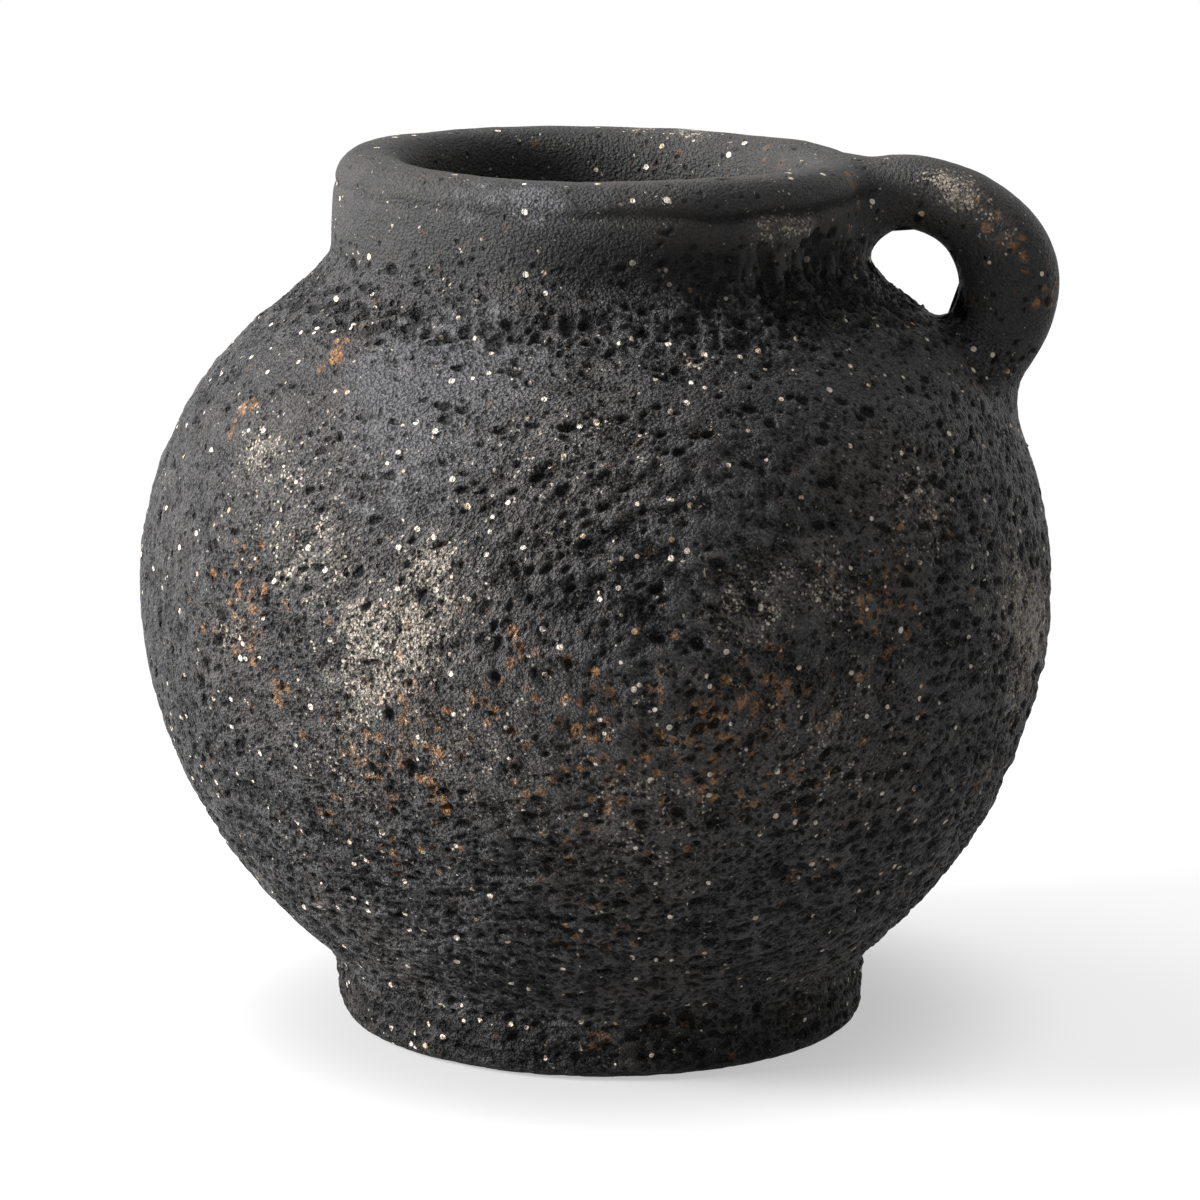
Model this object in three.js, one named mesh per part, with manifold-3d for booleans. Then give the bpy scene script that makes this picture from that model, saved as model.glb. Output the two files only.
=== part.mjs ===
// A small hand-built earthenware jar with one loop handle, as the separate lengths of clay it is luted from.
// Millimetres, +Z up. The origin is on the jar's axis at the level it stands on, and the handle points to +X.

import * as THREE from "three";
import { mergeVertices } from "three/addons/utils/BufferGeometryUtils.js";
import Module from "manifold-3d";

const wasm = await Module();
wasm.setup();

// Clearance kept in every luted join
const JOIN_GAP = 0.3;

// Body: two half ovals that share the widest ring
const BELLY_RADIUS = 62.7;
const BELLY_HEIGHT = 61;
const SHOULDER_RISE = 52;
const SHOULDER_FULLNESS = 2.1;
const UNDERSIDE_FULLNESS = 1.95;
const BODY_WALL = 7;

// Base slab and foot ring
const BASE_DISC_RADIUS = 32.5;
const FLOOR_THICKNESS = 8;
const FOOT_RECESS = 5;
const FOOT_RADIUS = 37.2;
const FOOT_HEIGHT = 10.15;
const FOOT_DRAFT = 0.4;
const FOOT_INNER_RADIUS = 27;
const FOOT_OUTER_ROUNDING = 3.4;
const FOOT_INNER_ROUNDING = 1.6;
const FOOT_SEAM_LEG = 2.2;
const FOOT_SEAM_TOE = 0.4;

// Collar and lip
const MOUTH_RADIUS = 26.2;
const COLLAR_RADIUS = 36.5;
const COLLAR_HEIGHT = 8;
const LIP_HEIGHT = 10.5;
const LIP_CROWN = 5.4;
const LIP_FULLNESS = 2.6;
const NECK_SEAM_RISE = 4.8;
const NECK_SEAM_LEG = 3.1;
const NECK_SEAM_TOE = 0.6;

// Handle: an arm off the lip, a quarter bend and a leg down to the shoulder. Its reach is how far the grip
// stands out past the shoulder where the leg lands.
const HANDLE_REACH = 9.7;
const HANDLE_WIDTH = 15.2;
const ARM_ROOT_THICKNESS = 8.4;
const ARM_THICKNESS = 10.2;
const GRIP_THICKNESS = 13.4;
const LEG_THICKNESS = 11;
const ARM_BELOW_RIM = 4.9;
const ARM_DIP = 0.6;
const ARM_LENGTH = 2.5;
const GRIP_BELOW_ARM = 10.8;
const ROOT_ABOVE_BELLY = 28.5;
const ROOT_DEPTH = 4;
const ARM_FULL_AT = 0.25;
const GRIP_FULL_AT = 0.6;
const LEG_FULL_AT = 0.9;

// Clay worked round the handle's two ends
const LIP_PAD_SIDE = 4;
const LIP_PAD_OVER = 1.1;
const LIP_PAD_UNDER = 2.4;
const LIP_PAD_OUT = 7;
const SHOULDER_PAD_LENGTH = 22;
const SHOULDER_PAD_SIDE = 3.8;
const SHOULDER_PAD_OUT = 2.4;
const SHOULDER_PAD_RISE = 1.5;

// How far the hand-built shape strays from a turned one
const OUT_OF_ROUND = 0.006;
const OUT_OF_ROUND_TURN = 1.7;
const MOUTH_DRIFT = 1;
const MOUTH_TILT = 0.014;
const FOOT_DRIFT = 0.9;
const DRIFT_FADE = 6;
const TILT_FADE = 4;

// Fineness of the round surfaces
const TURN_STEPS = 48;
const CURVE_STEPS = 9;
const ROUND_STEPS = 4;
const CROWN_STEPS = 12;
const BAR_SIDES = 18;
const BAR_STEPS = 22;
const MOUND_SIDES = 20;
const MOUND_RINGS = 12;

// The underside lands on the foot ring's outer edge, and the collar is seated where its seam of clay runs out
// on the shoulder. Inside, the shoulder meets the mouth's edge at that seat.
const UNDERSIDE_DROP = (BELLY_HEIGHT - FOOT_HEIGHT) / ovalRise(FOOT_RADIUS, BELLY_RADIUS, 1, UNDERSIDE_FULLNESS);
const NECK_SEAM_INNER = COLLAR_RADIUS + JOIN_GAP;
const NECK_SEAM_OUTER = NECK_SEAM_INNER + NECK_SEAM_LEG;
const COLLAR_SEAT = shoulderHeight(NECK_SEAM_OUTER) - NECK_SEAM_TOE - JOIN_GAP;
const INSIDE_RADIUS = BELLY_RADIUS - BODY_WALL;
const INSIDE_RISE = (COLLAR_SEAT - BELLY_HEIGHT) / ovalRise(MOUTH_RADIUS, INSIDE_RADIUS, 1, SHOULDER_FULLNESS);
const LIP_SEAT = COLLAR_SEAT + COLLAR_HEIGHT;
const RIM_TOP = LIP_SEAT + JOIN_GAP + LIP_HEIGHT;

// Height over the belly of a half oval at a radius: (r / R)^n + (h / H)^n = 1
function ovalRise(radius, halfWidth, rise, fullness) {
  return rise * (1 - (radius / halfWidth) ** fullness) ** (1 / fullness);
}

// The same half oval the other way round: its radius at a height over the belly
function ovalRadius(height, halfWidth, rise, fullness) {
  return halfWidth * (1 - (height / rise) ** fullness) ** (1 / fullness);
}

function shoulderRadius(z) {
  return ovalRadius(z - BELLY_HEIGHT, BELLY_RADIUS, SHOULDER_RISE, SHOULDER_FULLNESS);
}

function shoulderHeight(radius) {
  return BELLY_HEIGHT + ovalRise(radius, BELLY_RADIUS, SHOULDER_RISE, SHOULDER_FULLNESS);
}

function insideHeight(radius) {
  return BELLY_HEIGHT + ovalRise(radius, INSIDE_RADIUS, INSIDE_RISE, SHOULDER_FULLNESS);
}

function undersideHeight(radius, inset = 0) {
  return BELLY_HEIGHT - ovalRise(radius, BELLY_RADIUS - inset, UNDERSIDE_DROP - inset, UNDERSIDE_FULLNESS);
}

// Evenly spaced values from one end to the other, both included
function spread(from, to, steps) {
  return Array.from({ length: steps + 1 }, (_, i) => from + ((to - from) * i) / steps);
}

// Radii from one end to the other, closer together near the belly, where the wall stands steep
function bellyward(from, to, steps) {
  return spread(0, Math.PI / 2, steps).map((turn) => from + (to - from) * Math.sin(turn));
}

function point(radius, z) {
  return new THREE.Vector2(radius, z);
}

// A quarter round in the profile plane, about a centre, from one angle to another
function roundEdge(centre, radius, from, to) {
  return spread(from, to, ROUND_STEPS).map((turn) => point(
    centre.x + radius * Math.cos(turn),
    centre.y + radius * Math.sin(turn),
  ));
}

// A solid of revolution about Z from its profile, which runs up the outside and down the inside
function turned(profile) {
  const geometry = new THREE.LatheGeometry(profile, TURN_STEPS);
  geometry.rotateX(Math.PI / 2);
  return geometry;
}

function closed(profile) {
  return [...profile, profile[0].clone()];
}

// The slab: flat over the foot's recess, then up the underside curve, with a dished floor
function baseDisc() {
  const inner = spread(BASE_DISC_RADIUS, 0, CURVE_STEPS).map((radius) => point(
    radius,
    Math.max(undersideHeight(radius, BODY_WALL), FOOT_RECESS + FLOOR_THICKNESS),
  ));
  const outer = spread(0, BASE_DISC_RADIUS, CURVE_STEPS).map((radius) => point(
    radius,
    Math.max(undersideHeight(radius), FOOT_RECESS),
  ));
  return turned([...outer, ...inner]);
}

function lowerBody() {
  const start = BASE_DISC_RADIUS + JOIN_GAP;
  const top = BELLY_HEIGHT - JOIN_GAP / 2;
  const outer = bellyward(start, BELLY_RADIUS, CURVE_STEPS).map(
    (radius) => point(radius, Math.min(undersideHeight(radius), top)),
  );
  const inner = bellyward(start, INSIDE_RADIUS, CURVE_STEPS).map(
    (radius) => point(radius, Math.min(undersideHeight(radius, BODY_WALL), top)),
  );
  return turned(closed([...outer, ...inner.reverse()]));
}

function upperBody() {
  const bottom = BELLY_HEIGHT + JOIN_GAP / 2;
  const outer = bellyward(shoulderRadius(COLLAR_SEAT), BELLY_RADIUS, CURVE_STEPS).map(
    (radius) => point(radius, Math.max(shoulderHeight(radius), bottom)),
  );
  const inner = bellyward(MOUTH_RADIUS, INSIDE_RADIUS, CURVE_STEPS).map(
    (radius) => point(radius, Math.max(insideHeight(radius), bottom)),
  );
  return turned(closed([...outer.reverse(), ...inner]));
}

// The ring foot: rounded where it stands, its top bedded against the underside curve
function footRing() {
  const outerCentre = point(FOOT_RADIUS - FOOT_DRAFT - FOOT_OUTER_ROUNDING, FOOT_OUTER_ROUNDING);
  const innerCentre = point(FOOT_INNER_RADIUS + FOOT_INNER_ROUNDING, FOOT_INNER_ROUNDING);
  const top = spread(FOOT_RADIUS, FOOT_INNER_RADIUS, ROUND_STEPS).map(
    (radius) => point(radius, Math.max(undersideHeight(radius), FOOT_RECESS) - JOIN_GAP),
  );
  return turned(closed([
    ...roundEdge(outerCentre, FOOT_OUTER_ROUNDING, -Math.PI / 2, 0),
    ...top,
    ...roundEdge(innerCentre, FOOT_INNER_ROUNDING, Math.PI, 1.5 * Math.PI),
  ]));
}

// Soft clay pressed into the crease over the foot: down the foot's side, and out along the underside
function footSeamClay() {
  const side = FOOT_RADIUS + JOIN_GAP;
  const crease = undersideHeight(side) - JOIN_GAP;
  const out = side + FOOT_SEAM_LEG;
  return turned(closed([
    point(side, crease - FOOT_SEAM_LEG),
    point(side + FOOT_SEAM_TOE, crease - FOOT_SEAM_LEG),
    point(side + FOOT_SEAM_LEG / 2, undersideHeight(side + FOOT_SEAM_LEG / 2) - JOIN_GAP - FOOT_SEAM_LEG / 2),
    point(out, undersideHeight(out) - JOIN_GAP - FOOT_SEAM_TOE),
    point(out, undersideHeight(out) - JOIN_GAP),
    point(side, crease),
  ]));
}

function neckCollar() {
  return turned(closed([
    point(COLLAR_RADIUS, COLLAR_SEAT + JOIN_GAP),
    point(COLLAR_RADIUS, LIP_SEAT),
    point(MOUTH_RADIUS, LIP_SEAT),
    point(MOUTH_RADIUS, COLLAR_SEAT + JOIN_GAP),
  ]));
}

// The coil smeared over the neck join: a concave fillet from the shoulder's edge up the collar
function neckSeamClay() {
  const bottom = COLLAR_SEAT + JOIN_GAP;
  const thin = NECK_SEAM_INNER + NECK_SEAM_TOE;
  const face = spread(0, Math.PI / 2, ROUND_STEPS).map((turn) => point(
    thin + (NECK_SEAM_OUTER - thin) * (1 - Math.sin(turn)),
    bottom + NECK_SEAM_TOE + (NECK_SEAM_RISE - NECK_SEAM_TOE) * (1 - Math.cos(turn)),
  ));
  return turned(closed([
    point(NECK_SEAM_INNER, bottom),
    point(NECK_SEAM_OUTER, bottom),
    ...face,
    point(NECK_SEAM_INNER, bottom + NECK_SEAM_RISE),
  ]));
}

// The lip: a coil as wide as the collar's wall, its crown a full half oval
function lipCoil() {
  const bottom = LIP_SEAT + JOIN_GAP;
  const halfWall = (COLLAR_RADIUS - MOUTH_RADIUS) / 2;
  const crownBase = RIM_TOP - LIP_CROWN;
  const crown = spread(0, Math.PI, CROWN_STEPS).map((turn) => {
    const across = Math.sign(Math.cos(turn)) * Math.abs(Math.cos(turn)) ** (2 / LIP_FULLNESS);
    const up = Math.sin(turn) ** (2 / LIP_FULLNESS);
    return point(MOUTH_RADIUS + halfWall + halfWall * across, crownBase + LIP_CROWN * up);
  });
  return turned(closed([point(COLLAR_RADIUS, bottom), ...crown, point(MOUTH_RADIUS, bottom)]));
}

// The filled outside of the vessel, grown by a clearance, which the handle's pieces are cut back to
function vesselEnvelope(grow) {
  const shoulder = bellyward(COLLAR_RADIUS, BELLY_RADIUS, CURVE_STEPS).map(
    (radius) => point(radius + grow, Math.max(shoulderHeight(radius), BELLY_HEIGHT) + grow),
  );
  const halfWall = (COLLAR_RADIUS - MOUTH_RADIUS) / 2;
  const crown = spread(0, Math.PI / 2, CROWN_STEPS / 2).map((turn) => point(
    MOUTH_RADIUS + halfWall + (halfWall + grow) * Math.cos(turn) ** (2 / LIP_FULLNESS),
    RIM_TOP - LIP_CROWN + (LIP_CROWN + grow) * Math.sin(turn) ** (2 / LIP_FULLNESS),
  ));
  return turned([
    point(0, BELLY_HEIGHT),
    point(BELLY_RADIUS + grow, BELLY_HEIGHT),
    ...shoulder.reverse(),
    ...crown,
    point(0, RIM_TOP + grow),
  ]);
}

// The neck seam's outside, grown by a clearance, filled to the axis
function neckSeamEnvelope(grow) {
  const top = COLLAR_SEAT + JOIN_GAP + NECK_SEAM_RISE + grow;
  return turned([
    point(0, COLLAR_SEAT),
    point(NECK_SEAM_OUTER + grow, COLLAR_SEAT),
    point(NECK_SEAM_OUTER + grow, COLLAR_SEAT + JOIN_GAP + NECK_SEAM_TOE + grow),
    point(NECK_SEAM_INNER + NECK_SEAM_TOE + grow, top),
    point(0, top),
  ]);
}

// The handle's centre line in the XZ plane
function handleLine() {
  const armHeight = RIM_TOP - ARM_BELOW_RIM;
  const armEnd = COLLAR_RADIUS + ARM_LENGTH;
  const rootHeight = BELLY_HEIGHT + ROOT_ABOVE_BELLY;
  const gripOut = shoulderRadius(rootHeight) + HANDLE_REACH - GRIP_THICKNESS / 2;
  const gripHeight = armHeight - GRIP_BELOW_ARM;
  const rootOut = shoulderRadius(rootHeight) - ROOT_DEPTH / 2;
  const bend = spread(0, Math.PI / 2, ROUND_STEPS).map((turn) => new THREE.Vector3(
    armEnd + (gripOut - armEnd) * Math.sin(turn),
    0,
    gripHeight + (GRIP_BELOW_ARM - ARM_DIP) * Math.cos(turn),
  ));
  return new THREE.CatmullRomCurve3([
    new THREE.Vector3(COLLAR_RADIUS - ROOT_DEPTH, 0, armHeight),
    ...bend,
    new THREE.Vector3(gripOut - (gripOut - rootOut) / 3, 0, (gripHeight + rootHeight) / 2),
    new THREE.Vector3(rootOut, 0, rootHeight),
    new THREE.Vector3(rootOut - ROOT_DEPTH, 0, rootHeight - 1.5 * ROOT_DEPTH),
  ], false, "centripetal");
}

// The handle's thickness along its line, 0 at the lip and 1 in the shoulder: fullest at the grip
function handleThickness(along) {
  const { smoothstep } = THREE.MathUtils;
  return ARM_ROOT_THICKNESS
    + (ARM_THICKNESS - ARM_ROOT_THICKNESS) * smoothstep(along, 0, ARM_FULL_AT)
    + (GRIP_THICKNESS - ARM_THICKNESS) * smoothstep(along, ARM_FULL_AT, GRIP_FULL_AT)
    + (LEG_THICKNESS - GRIP_THICKNESS) * smoothstep(along, GRIP_FULL_AT, LEG_FULL_AT);
}

// A unit drum bent along the centre line: thick in the bend's plane, wide across it
function bentBar(grow) {
  const line = handleLine();
  const geometry = new THREE.CylinderGeometry(1, 1, 1, BAR_SIDES, BAR_STEPS);
  const position = geometry.attributes.position;
  const across = new THREE.Vector3(0, 1, 0);
  for (let i = 0; i < position.count; i += 1) {
    const along = position.getY(i) + 0.5;
    const centre = line.getPointAt(along);
    const outward = new THREE.Vector3().crossVectors(line.getTangentAt(along), across).normalize();
    centre.addScaledVector(outward, position.getX(i) * (handleThickness(along) / 2 + grow));
    centre.addScaledVector(across, position.getZ(i) * (HANDLE_WIDTH / 2 + grow));
    position.setXYZ(i, centre.x, centre.y, centre.z);
  }
  return geometry;
}

// An egg of clay about a centre, laid so that its local X points along a slope's normal
function mound(centre, out, width, height, lean) {
  const geometry = new THREE.SphereGeometry(1, MOUND_SIDES, MOUND_RINGS);
  geometry.scale(out, width / 2, height / 2);
  geometry.rotateY(-lean);
  geometry.translate(centre.x, centre.y, centre.z);
  return geometry;
}

// Booleans
function solid(geometry) {
  const bare = geometry.clone();
  bare.deleteAttribute("normal");
  bare.deleteAttribute("uv");
  const merged = mergeVertices(bare, 1e-3);
  return new wasm.Manifold(new wasm.Mesh({
    numProp: 3,
    vertProperties: new Float32Array(merged.attributes.position.array),
    triVerts: new Uint32Array(merged.index.array),
  }));
}

function geometryOf(manifold) {
  const mesh = manifold.getMesh();
  const geometry = new THREE.BufferGeometry();
  geometry.setAttribute("position", new THREE.BufferAttribute(new Float32Array(mesh.vertProperties), 3));
  geometry.setIndex(new THREE.BufferAttribute(new Uint32Array(mesh.triVerts), 1));
  return geometry;
}

function vesselCutter() {
  return solid(vesselEnvelope(JOIN_GAP)).add(solid(neckSeamEnvelope(JOIN_GAP)));
}

function handleLoop() {
  return geometryOf(solid(bentBar(0)).subtract(vesselCutter()));
}

// The lip pad stands out past the arm's root by its own margin over, under and at each side
function handleLipPad() {
  const arm = RIM_TOP - ARM_BELOW_RIM;
  const top = arm + ARM_ROOT_THICKNESS / 2 + JOIN_GAP + LIP_PAD_OVER;
  const bottom = arm - ARM_ROOT_THICKNESS / 2 - JOIN_GAP - LIP_PAD_UNDER;
  const width = HANDLE_WIDTH + 2 * (JOIN_GAP + LIP_PAD_SIDE);
  const centre = new THREE.Vector3(COLLAR_RADIUS, 0, (top + bottom) / 2);
  const clay = solid(mound(centre, LIP_PAD_OUT, width, top - bottom, 0));
  return geometryOf(clay.subtract(vesselCutter()).subtract(solid(bentBar(JOIN_GAP))));
}

// The mound stands square to the shoulder, whose slope is the half oval's gradient there
function handleShoulderPad() {
  const rise = ROOT_ABOVE_BELLY + SHOULDER_PAD_RISE;
  const radius = shoulderRadius(BELLY_HEIGHT + rise);
  const gradientOut = (radius / BELLY_RADIUS) ** (SHOULDER_FULLNESS - 1) / BELLY_RADIUS;
  const gradientUp = (rise / SHOULDER_RISE) ** (SHOULDER_FULLNESS - 1) / SHOULDER_RISE;
  const lean = Math.atan2(gradientUp, gradientOut);
  const centre = new THREE.Vector3(radius, 0, BELLY_HEIGHT + rise);
  const width = HANDLE_WIDTH + 2 * (JOIN_GAP + SHOULDER_PAD_SIDE);
  const clay = solid(mound(centre, SHOULDER_PAD_OUT, width, SHOULDER_PAD_LENGTH, lean));
  return geometryOf(clay.subtract(vesselCutter()).subtract(solid(bentBar(JOIN_GAP))));
}

// One smooth stray for the whole jar: out of round, its foot and mouth a little off the belly's axis, and its
// mouth tipped towards the handle. The standing level stays flat.
function handShaped(geometry) {
  const position = geometry.attributes.position;
  for (let i = 0; i < position.count; i += 1) {
    const x = position.getX(i);
    const y = position.getY(i);
    const z = position.getZ(i);
    const height = z / RIM_TOP;
    const swell = 1 + OUT_OF_ROUND * Math.cos(2 * Math.atan2(y, x) + OUT_OF_ROUND_TURN);
    const drift = MOUTH_DRIFT * height ** DRIFT_FADE + FOOT_DRIFT * (1 - height) ** DRIFT_FADE;
    position.setXYZ(i, x * swell + drift, y * swell, z - x * MOUTH_TILT * height ** TILT_FADE);
  }
  geometry.computeVertexNormals();
  return geometry;
}

// Charcoal-black fired clay, a little lighter or browner from piece to piece
function firedClay(color, roughness) {
  return new THREE.MeshStandardMaterial({ color, roughness, metalness: 0.05 });
}

const PIECES = [
  ["base_disc", baseDisc, firedClay(0x2c2b2c, 0.85)],
  ["lower_body", lowerBody, firedClay(0x2b2a2c, 0.75)],
  ["upper_body", upperBody, firedClay(0x302f31, 0.65)],
  ["foot_ring", footRing, firedClay(0x272627, 0.8)],
  ["foot_seam_clay", footSeamClay, firedClay(0x252425, 0.8)],
  ["neck_collar", neckCollar, firedClay(0x2f2e30, 0.65)],
  ["neck_seam_clay", neckSeamClay, firedClay(0x29282a, 0.8)],
  ["lip_coil", lipCoil, firedClay(0x343335, 0.6)],
  ["handle_loop", handleLoop, firedClay(0x2a2829, 0.7)],
  ["handle_lip_pad", handleLipPad, firedClay(0x322d2a, 0.75)],
  ["handle_shoulder_pad", handleShoulderPad, firedClay(0x2a292a, 0.75)],
];

const jar = new THREE.Group();
for (const [name, build, material] of PIECES) {
  const mesh = new THREE.Mesh(handShaped(build()), material);
  mesh.name = name;
  jar.add(mesh);
}

export default jar;
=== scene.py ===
"""Looks of a small hand-built black earthenware jar with one loop handle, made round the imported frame.

Shapes are worked out in millimetres about the jar's own axis, with +Z up and the handle towards +X, and
become metres as each mesh is made. Every new piece is a stack of rings: a grid of points computed as whole
arrays.
"""

import logging
import math
from collections.abc import Callable
from dataclasses import dataclass, field
from enum import Enum

import bpy
import numpy as np
from mathutils import Euler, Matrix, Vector


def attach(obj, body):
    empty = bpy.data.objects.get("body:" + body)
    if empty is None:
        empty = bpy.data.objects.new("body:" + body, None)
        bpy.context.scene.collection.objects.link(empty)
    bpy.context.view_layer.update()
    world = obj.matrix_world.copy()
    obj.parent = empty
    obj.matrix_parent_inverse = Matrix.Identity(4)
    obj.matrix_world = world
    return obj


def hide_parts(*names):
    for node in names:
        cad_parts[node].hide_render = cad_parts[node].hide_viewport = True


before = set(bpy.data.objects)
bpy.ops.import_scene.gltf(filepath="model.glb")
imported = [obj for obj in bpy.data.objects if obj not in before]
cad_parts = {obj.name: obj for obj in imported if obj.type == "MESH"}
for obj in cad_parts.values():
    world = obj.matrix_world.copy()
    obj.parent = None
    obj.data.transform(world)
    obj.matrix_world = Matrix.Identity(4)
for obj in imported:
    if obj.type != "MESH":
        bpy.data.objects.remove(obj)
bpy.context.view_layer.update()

Array = np.ndarray
Measure = Callable[[Array], Array]
Triple = tuple[float, float, float]
MM = 0.001
TURN = 2.0 * math.pi
ARC_POINTS = 24
OVAL_POINTS = 400
CROWN_POINTS = 200
log = logging.getLogger("jar")


# Curves and noise, all on whole arrays


def eased(value: Array, low: float, high: float) -> Array:
    """An S-shaped step from 0 at low to 1 at high: 3t^2 - 2t^3. Low may be over high.

    Args:
        value: numbers to step.
        low: where the step starts.
        high: where it ends.

    Returns:
        The step at each number.
    """
    share = np.clip((value - low) / (high - low), 0.0, 1.0)
    return share * share * (3.0 - 2.0 * share)


def hill(value: Array, middle: float | Array, width: float) -> Array:
    """A rounded hill that is 1 at its middle: exp(-((value - middle) / width)^2)."""
    return np.exp(-(((value - middle) / width) ** 2))


def round_about(points: Array) -> tuple[Array, Array, Array]:
    """Places as degrees round the jar's axis, distance from the axis, and height."""
    turn = np.degrees(np.arctan2(points[..., 1], points[..., 0]))
    return turn, np.hypot(points[..., 0], points[..., 1]), points[..., 2]


def unit(vectors: Array) -> Array:
    """Vectors at length 1 along the last axis."""
    return vectors / np.maximum(np.linalg.norm(vectors, axis=-1, keepdims=True), 1e-9)


def arc_lengths(line: Array) -> Array:
    """Length along a line up to each of its points."""
    steps = np.linalg.norm(np.diff(line, axis=0), axis=1)
    return np.concatenate([[0.0], np.cumsum(steps)])


def evenly(line: Array, step: float) -> Array:
    """The same line with its points at even steps along its length."""
    arc = arc_lengths(line)
    count = max(2, int(round(arc[-1] / step)) + 1)
    at = np.linspace(0.0, arc[-1], count)
    return np.stack([np.interp(at, arc, line[:, i]) for i in range(line.shape[1])], 1)


def softened(line: Array, spread: Array) -> Array:
    """Rounds a line's corners: each point becomes the average of the points round it, weighted by
    exp(-(distance along the line / spread)^2 / 2). The ends stay, because the spread shrinks towards them.

    Args:
        line: evenly stepped points.
        spread: the weight's width at each point.

    Returns:
        The rounded line, point for point.
    """
    arc = arc_lengths(line)
    to_end = np.minimum(arc, arc[-1] - arc)
    width = np.maximum(np.minimum(spread, to_end / 3.0), 1e-3)
    weight = np.exp(-0.5 * ((arc[:, None] - arc[None, :]) / width[:, None]) ** 2)
    return (weight @ line) / weight.sum(1, keepdims=True)


def round_arc(radius: float, height: float, size: float, start: float, end: float) -> Array:
    """Points of a circle's arc about (radius, height), from one angle to another."""
    turn = np.linspace(start, end, ARC_POINTS)
    return np.stack([radius + size * np.cos(turn), height + size * np.sin(turn)], 1)


def hashed(cells: Array, seed: int) -> Array:
    """A number from 0 to 1 for each whole-number cell, evenly spread and the same in every run.

    Args:
        cells: whole numbers, three to a cell.
        seed: picks one of many such spreads.

    Returns:
        One number for each cell.
    """
    whole = cells.astype(np.int64)
    mix = whole[..., 0] * 73856093 ^ whole[..., 1] * 19349663 ^ whole[..., 2] * 83492791
    mix = (mix ^ seed * 668265263).astype(np.uint32)
    for shift, factor in ((16, 0x7FEB352D), (15, 0x846CA68B)):
        mix = mix ^ (mix >> np.uint32(shift))
        mix = mix * np.uint32(factor)
    mix = mix ^ (mix >> np.uint32(16))
    return mix / 4294967296.0


CORNERS = np.array([[x, y, z] for x in (0, 1) for y in (0, 1) for z in (0, 1)])
TILT = np.array([[0.8, 0.36, -0.48], [-0.6, 0.48, -0.64], [0.0, 0.8, 0.6]])


def noise(points: Array, size: float, seed: int) -> Array:
    """Smooth noise from -1 to 1: numbers at the corners of tilted cubes, blended by 6t^5 - 15t^4 + 10t^3.

    Args:
        points: places, three numbers each.
        size: the cubes' edge.
        seed: picks the noise.

    Returns:
        One number for each place.
    """
    place = points @ TILT.T / size
    base = np.floor(place)
    share = place - base
    share = share**3 * (share * (share * 6.0 - 15.0) + 10.0)
    total = np.zeros(points.shape[:-1])
    for corner in CORNERS:
        weight = np.where(corner == 1, share, 1.0 - share).prod(-1)
        total += weight * hashed(base + corner, seed)
    return 2.0 * total - 1.0


# The form of the jar


@dataclass(frozen=True)
class VesselSizes:
    """Sizes of the turned part of the jar, in mm: the same as the frame's."""

    belly_radius: float = 62.7
    belly_height: float = 61.0
    shoulder_rise: float = 52.0
    shoulder_fullness: float = 2.1
    underside_fullness: float = 1.95
    wall: float = 7.0
    floor_height: float = 13.0
    foot_recess: float = 5.0
    foot_radius: float = 37.2
    foot_height: float = 10.15
    foot_draft: float = 0.4
    foot_inner_radius: float = 27.0
    foot_outer_rounding: float = 3.4
    foot_inner_rounding: float = 1.6
    collar_radius: float = 36.5
    mouth_radius: float = 26.2
    neck_seam_out: float = 39.9
    neck_seam_rise: float = 4.8
    collar_seat: float = 101.29
    rim_top: float = 120.09
    lip_crown: float = 5.4
    lip_fullness: float = 2.6

    @property
    def underside_drop(self) -> float:
        """How far under the belly the underside's half oval reaches, so that it lands on the foot."""
        share = (self.foot_radius / self.belly_radius) ** self.underside_fullness
        return (self.belly_height - self.foot_height) / (1.0 - share) ** (1.0 / self.underside_fullness)

    def oval(self, from_radius: float, to_radius: float, inset: float, rise: float, fullness: float) -> Array:
        """A stretch of a half oval about the belly: r = w cos^(2/n) t, h = rise sin^(2/n) t.

        Args:
            from_radius: radius where the stretch starts.
            to_radius: radius where it ends.
            inset: how far inside the belly's radius the oval lies.
            rise: its height over the belly, or under it where this is negative.
            fullness: the power n, 2 for a plain oval.

        Returns:
            Points (radius, height).
        """
        wide = self.belly_radius - inset
        ends = [math.acos(min(1.0, r / wide) ** (fullness / 2.0)) for r in (from_radius, to_radius)]
        turn = np.linspace(ends[0], ends[1], OVAL_POINTS)
        radius = wide * np.cos(turn) ** (2.0 / fullness)
        height = self.belly_height + rise * np.sin(turn) ** (2.0 / fullness)
        return np.stack([radius, height], 1)

    def crown(self) -> Array:
        """The lip's rounded top, a full half oval from its outside to its inside."""
        turn = np.linspace(0.0, math.pi, CROWN_POINTS)
        half = (self.collar_radius - self.mouth_radius) / 2.0
        power = 2.0 / self.lip_fullness
        across = np.sign(np.cos(turn)) * np.abs(np.cos(turn)) ** power
        up = np.abs(np.sin(turn)) ** power
        radius = self.mouth_radius + half + half * across
        return np.stack([radius, self.rim_top - self.lip_crown * (1 - up)], 1)


@dataclass(frozen=True)
class SoftSpot:
    """A place on the section whose corner the potter's fingers rounded more."""

    radius: float
    height: float
    reach: float
    spread: float


SOFT_SPOTS = (
    SoftSpot(38.3, 103.5, 5.0, 1.5),
    SoftSpot(37.4, 10.0, 2.5, 0.55),
    SoftSpot(36.5, 114.5, 3.0, 0.7),
    SoftSpot(27.0, 101.0, 5.0, 1.6),
    SoftSpot(34.0, 14.0, 8.0, 3.0),
)


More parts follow.
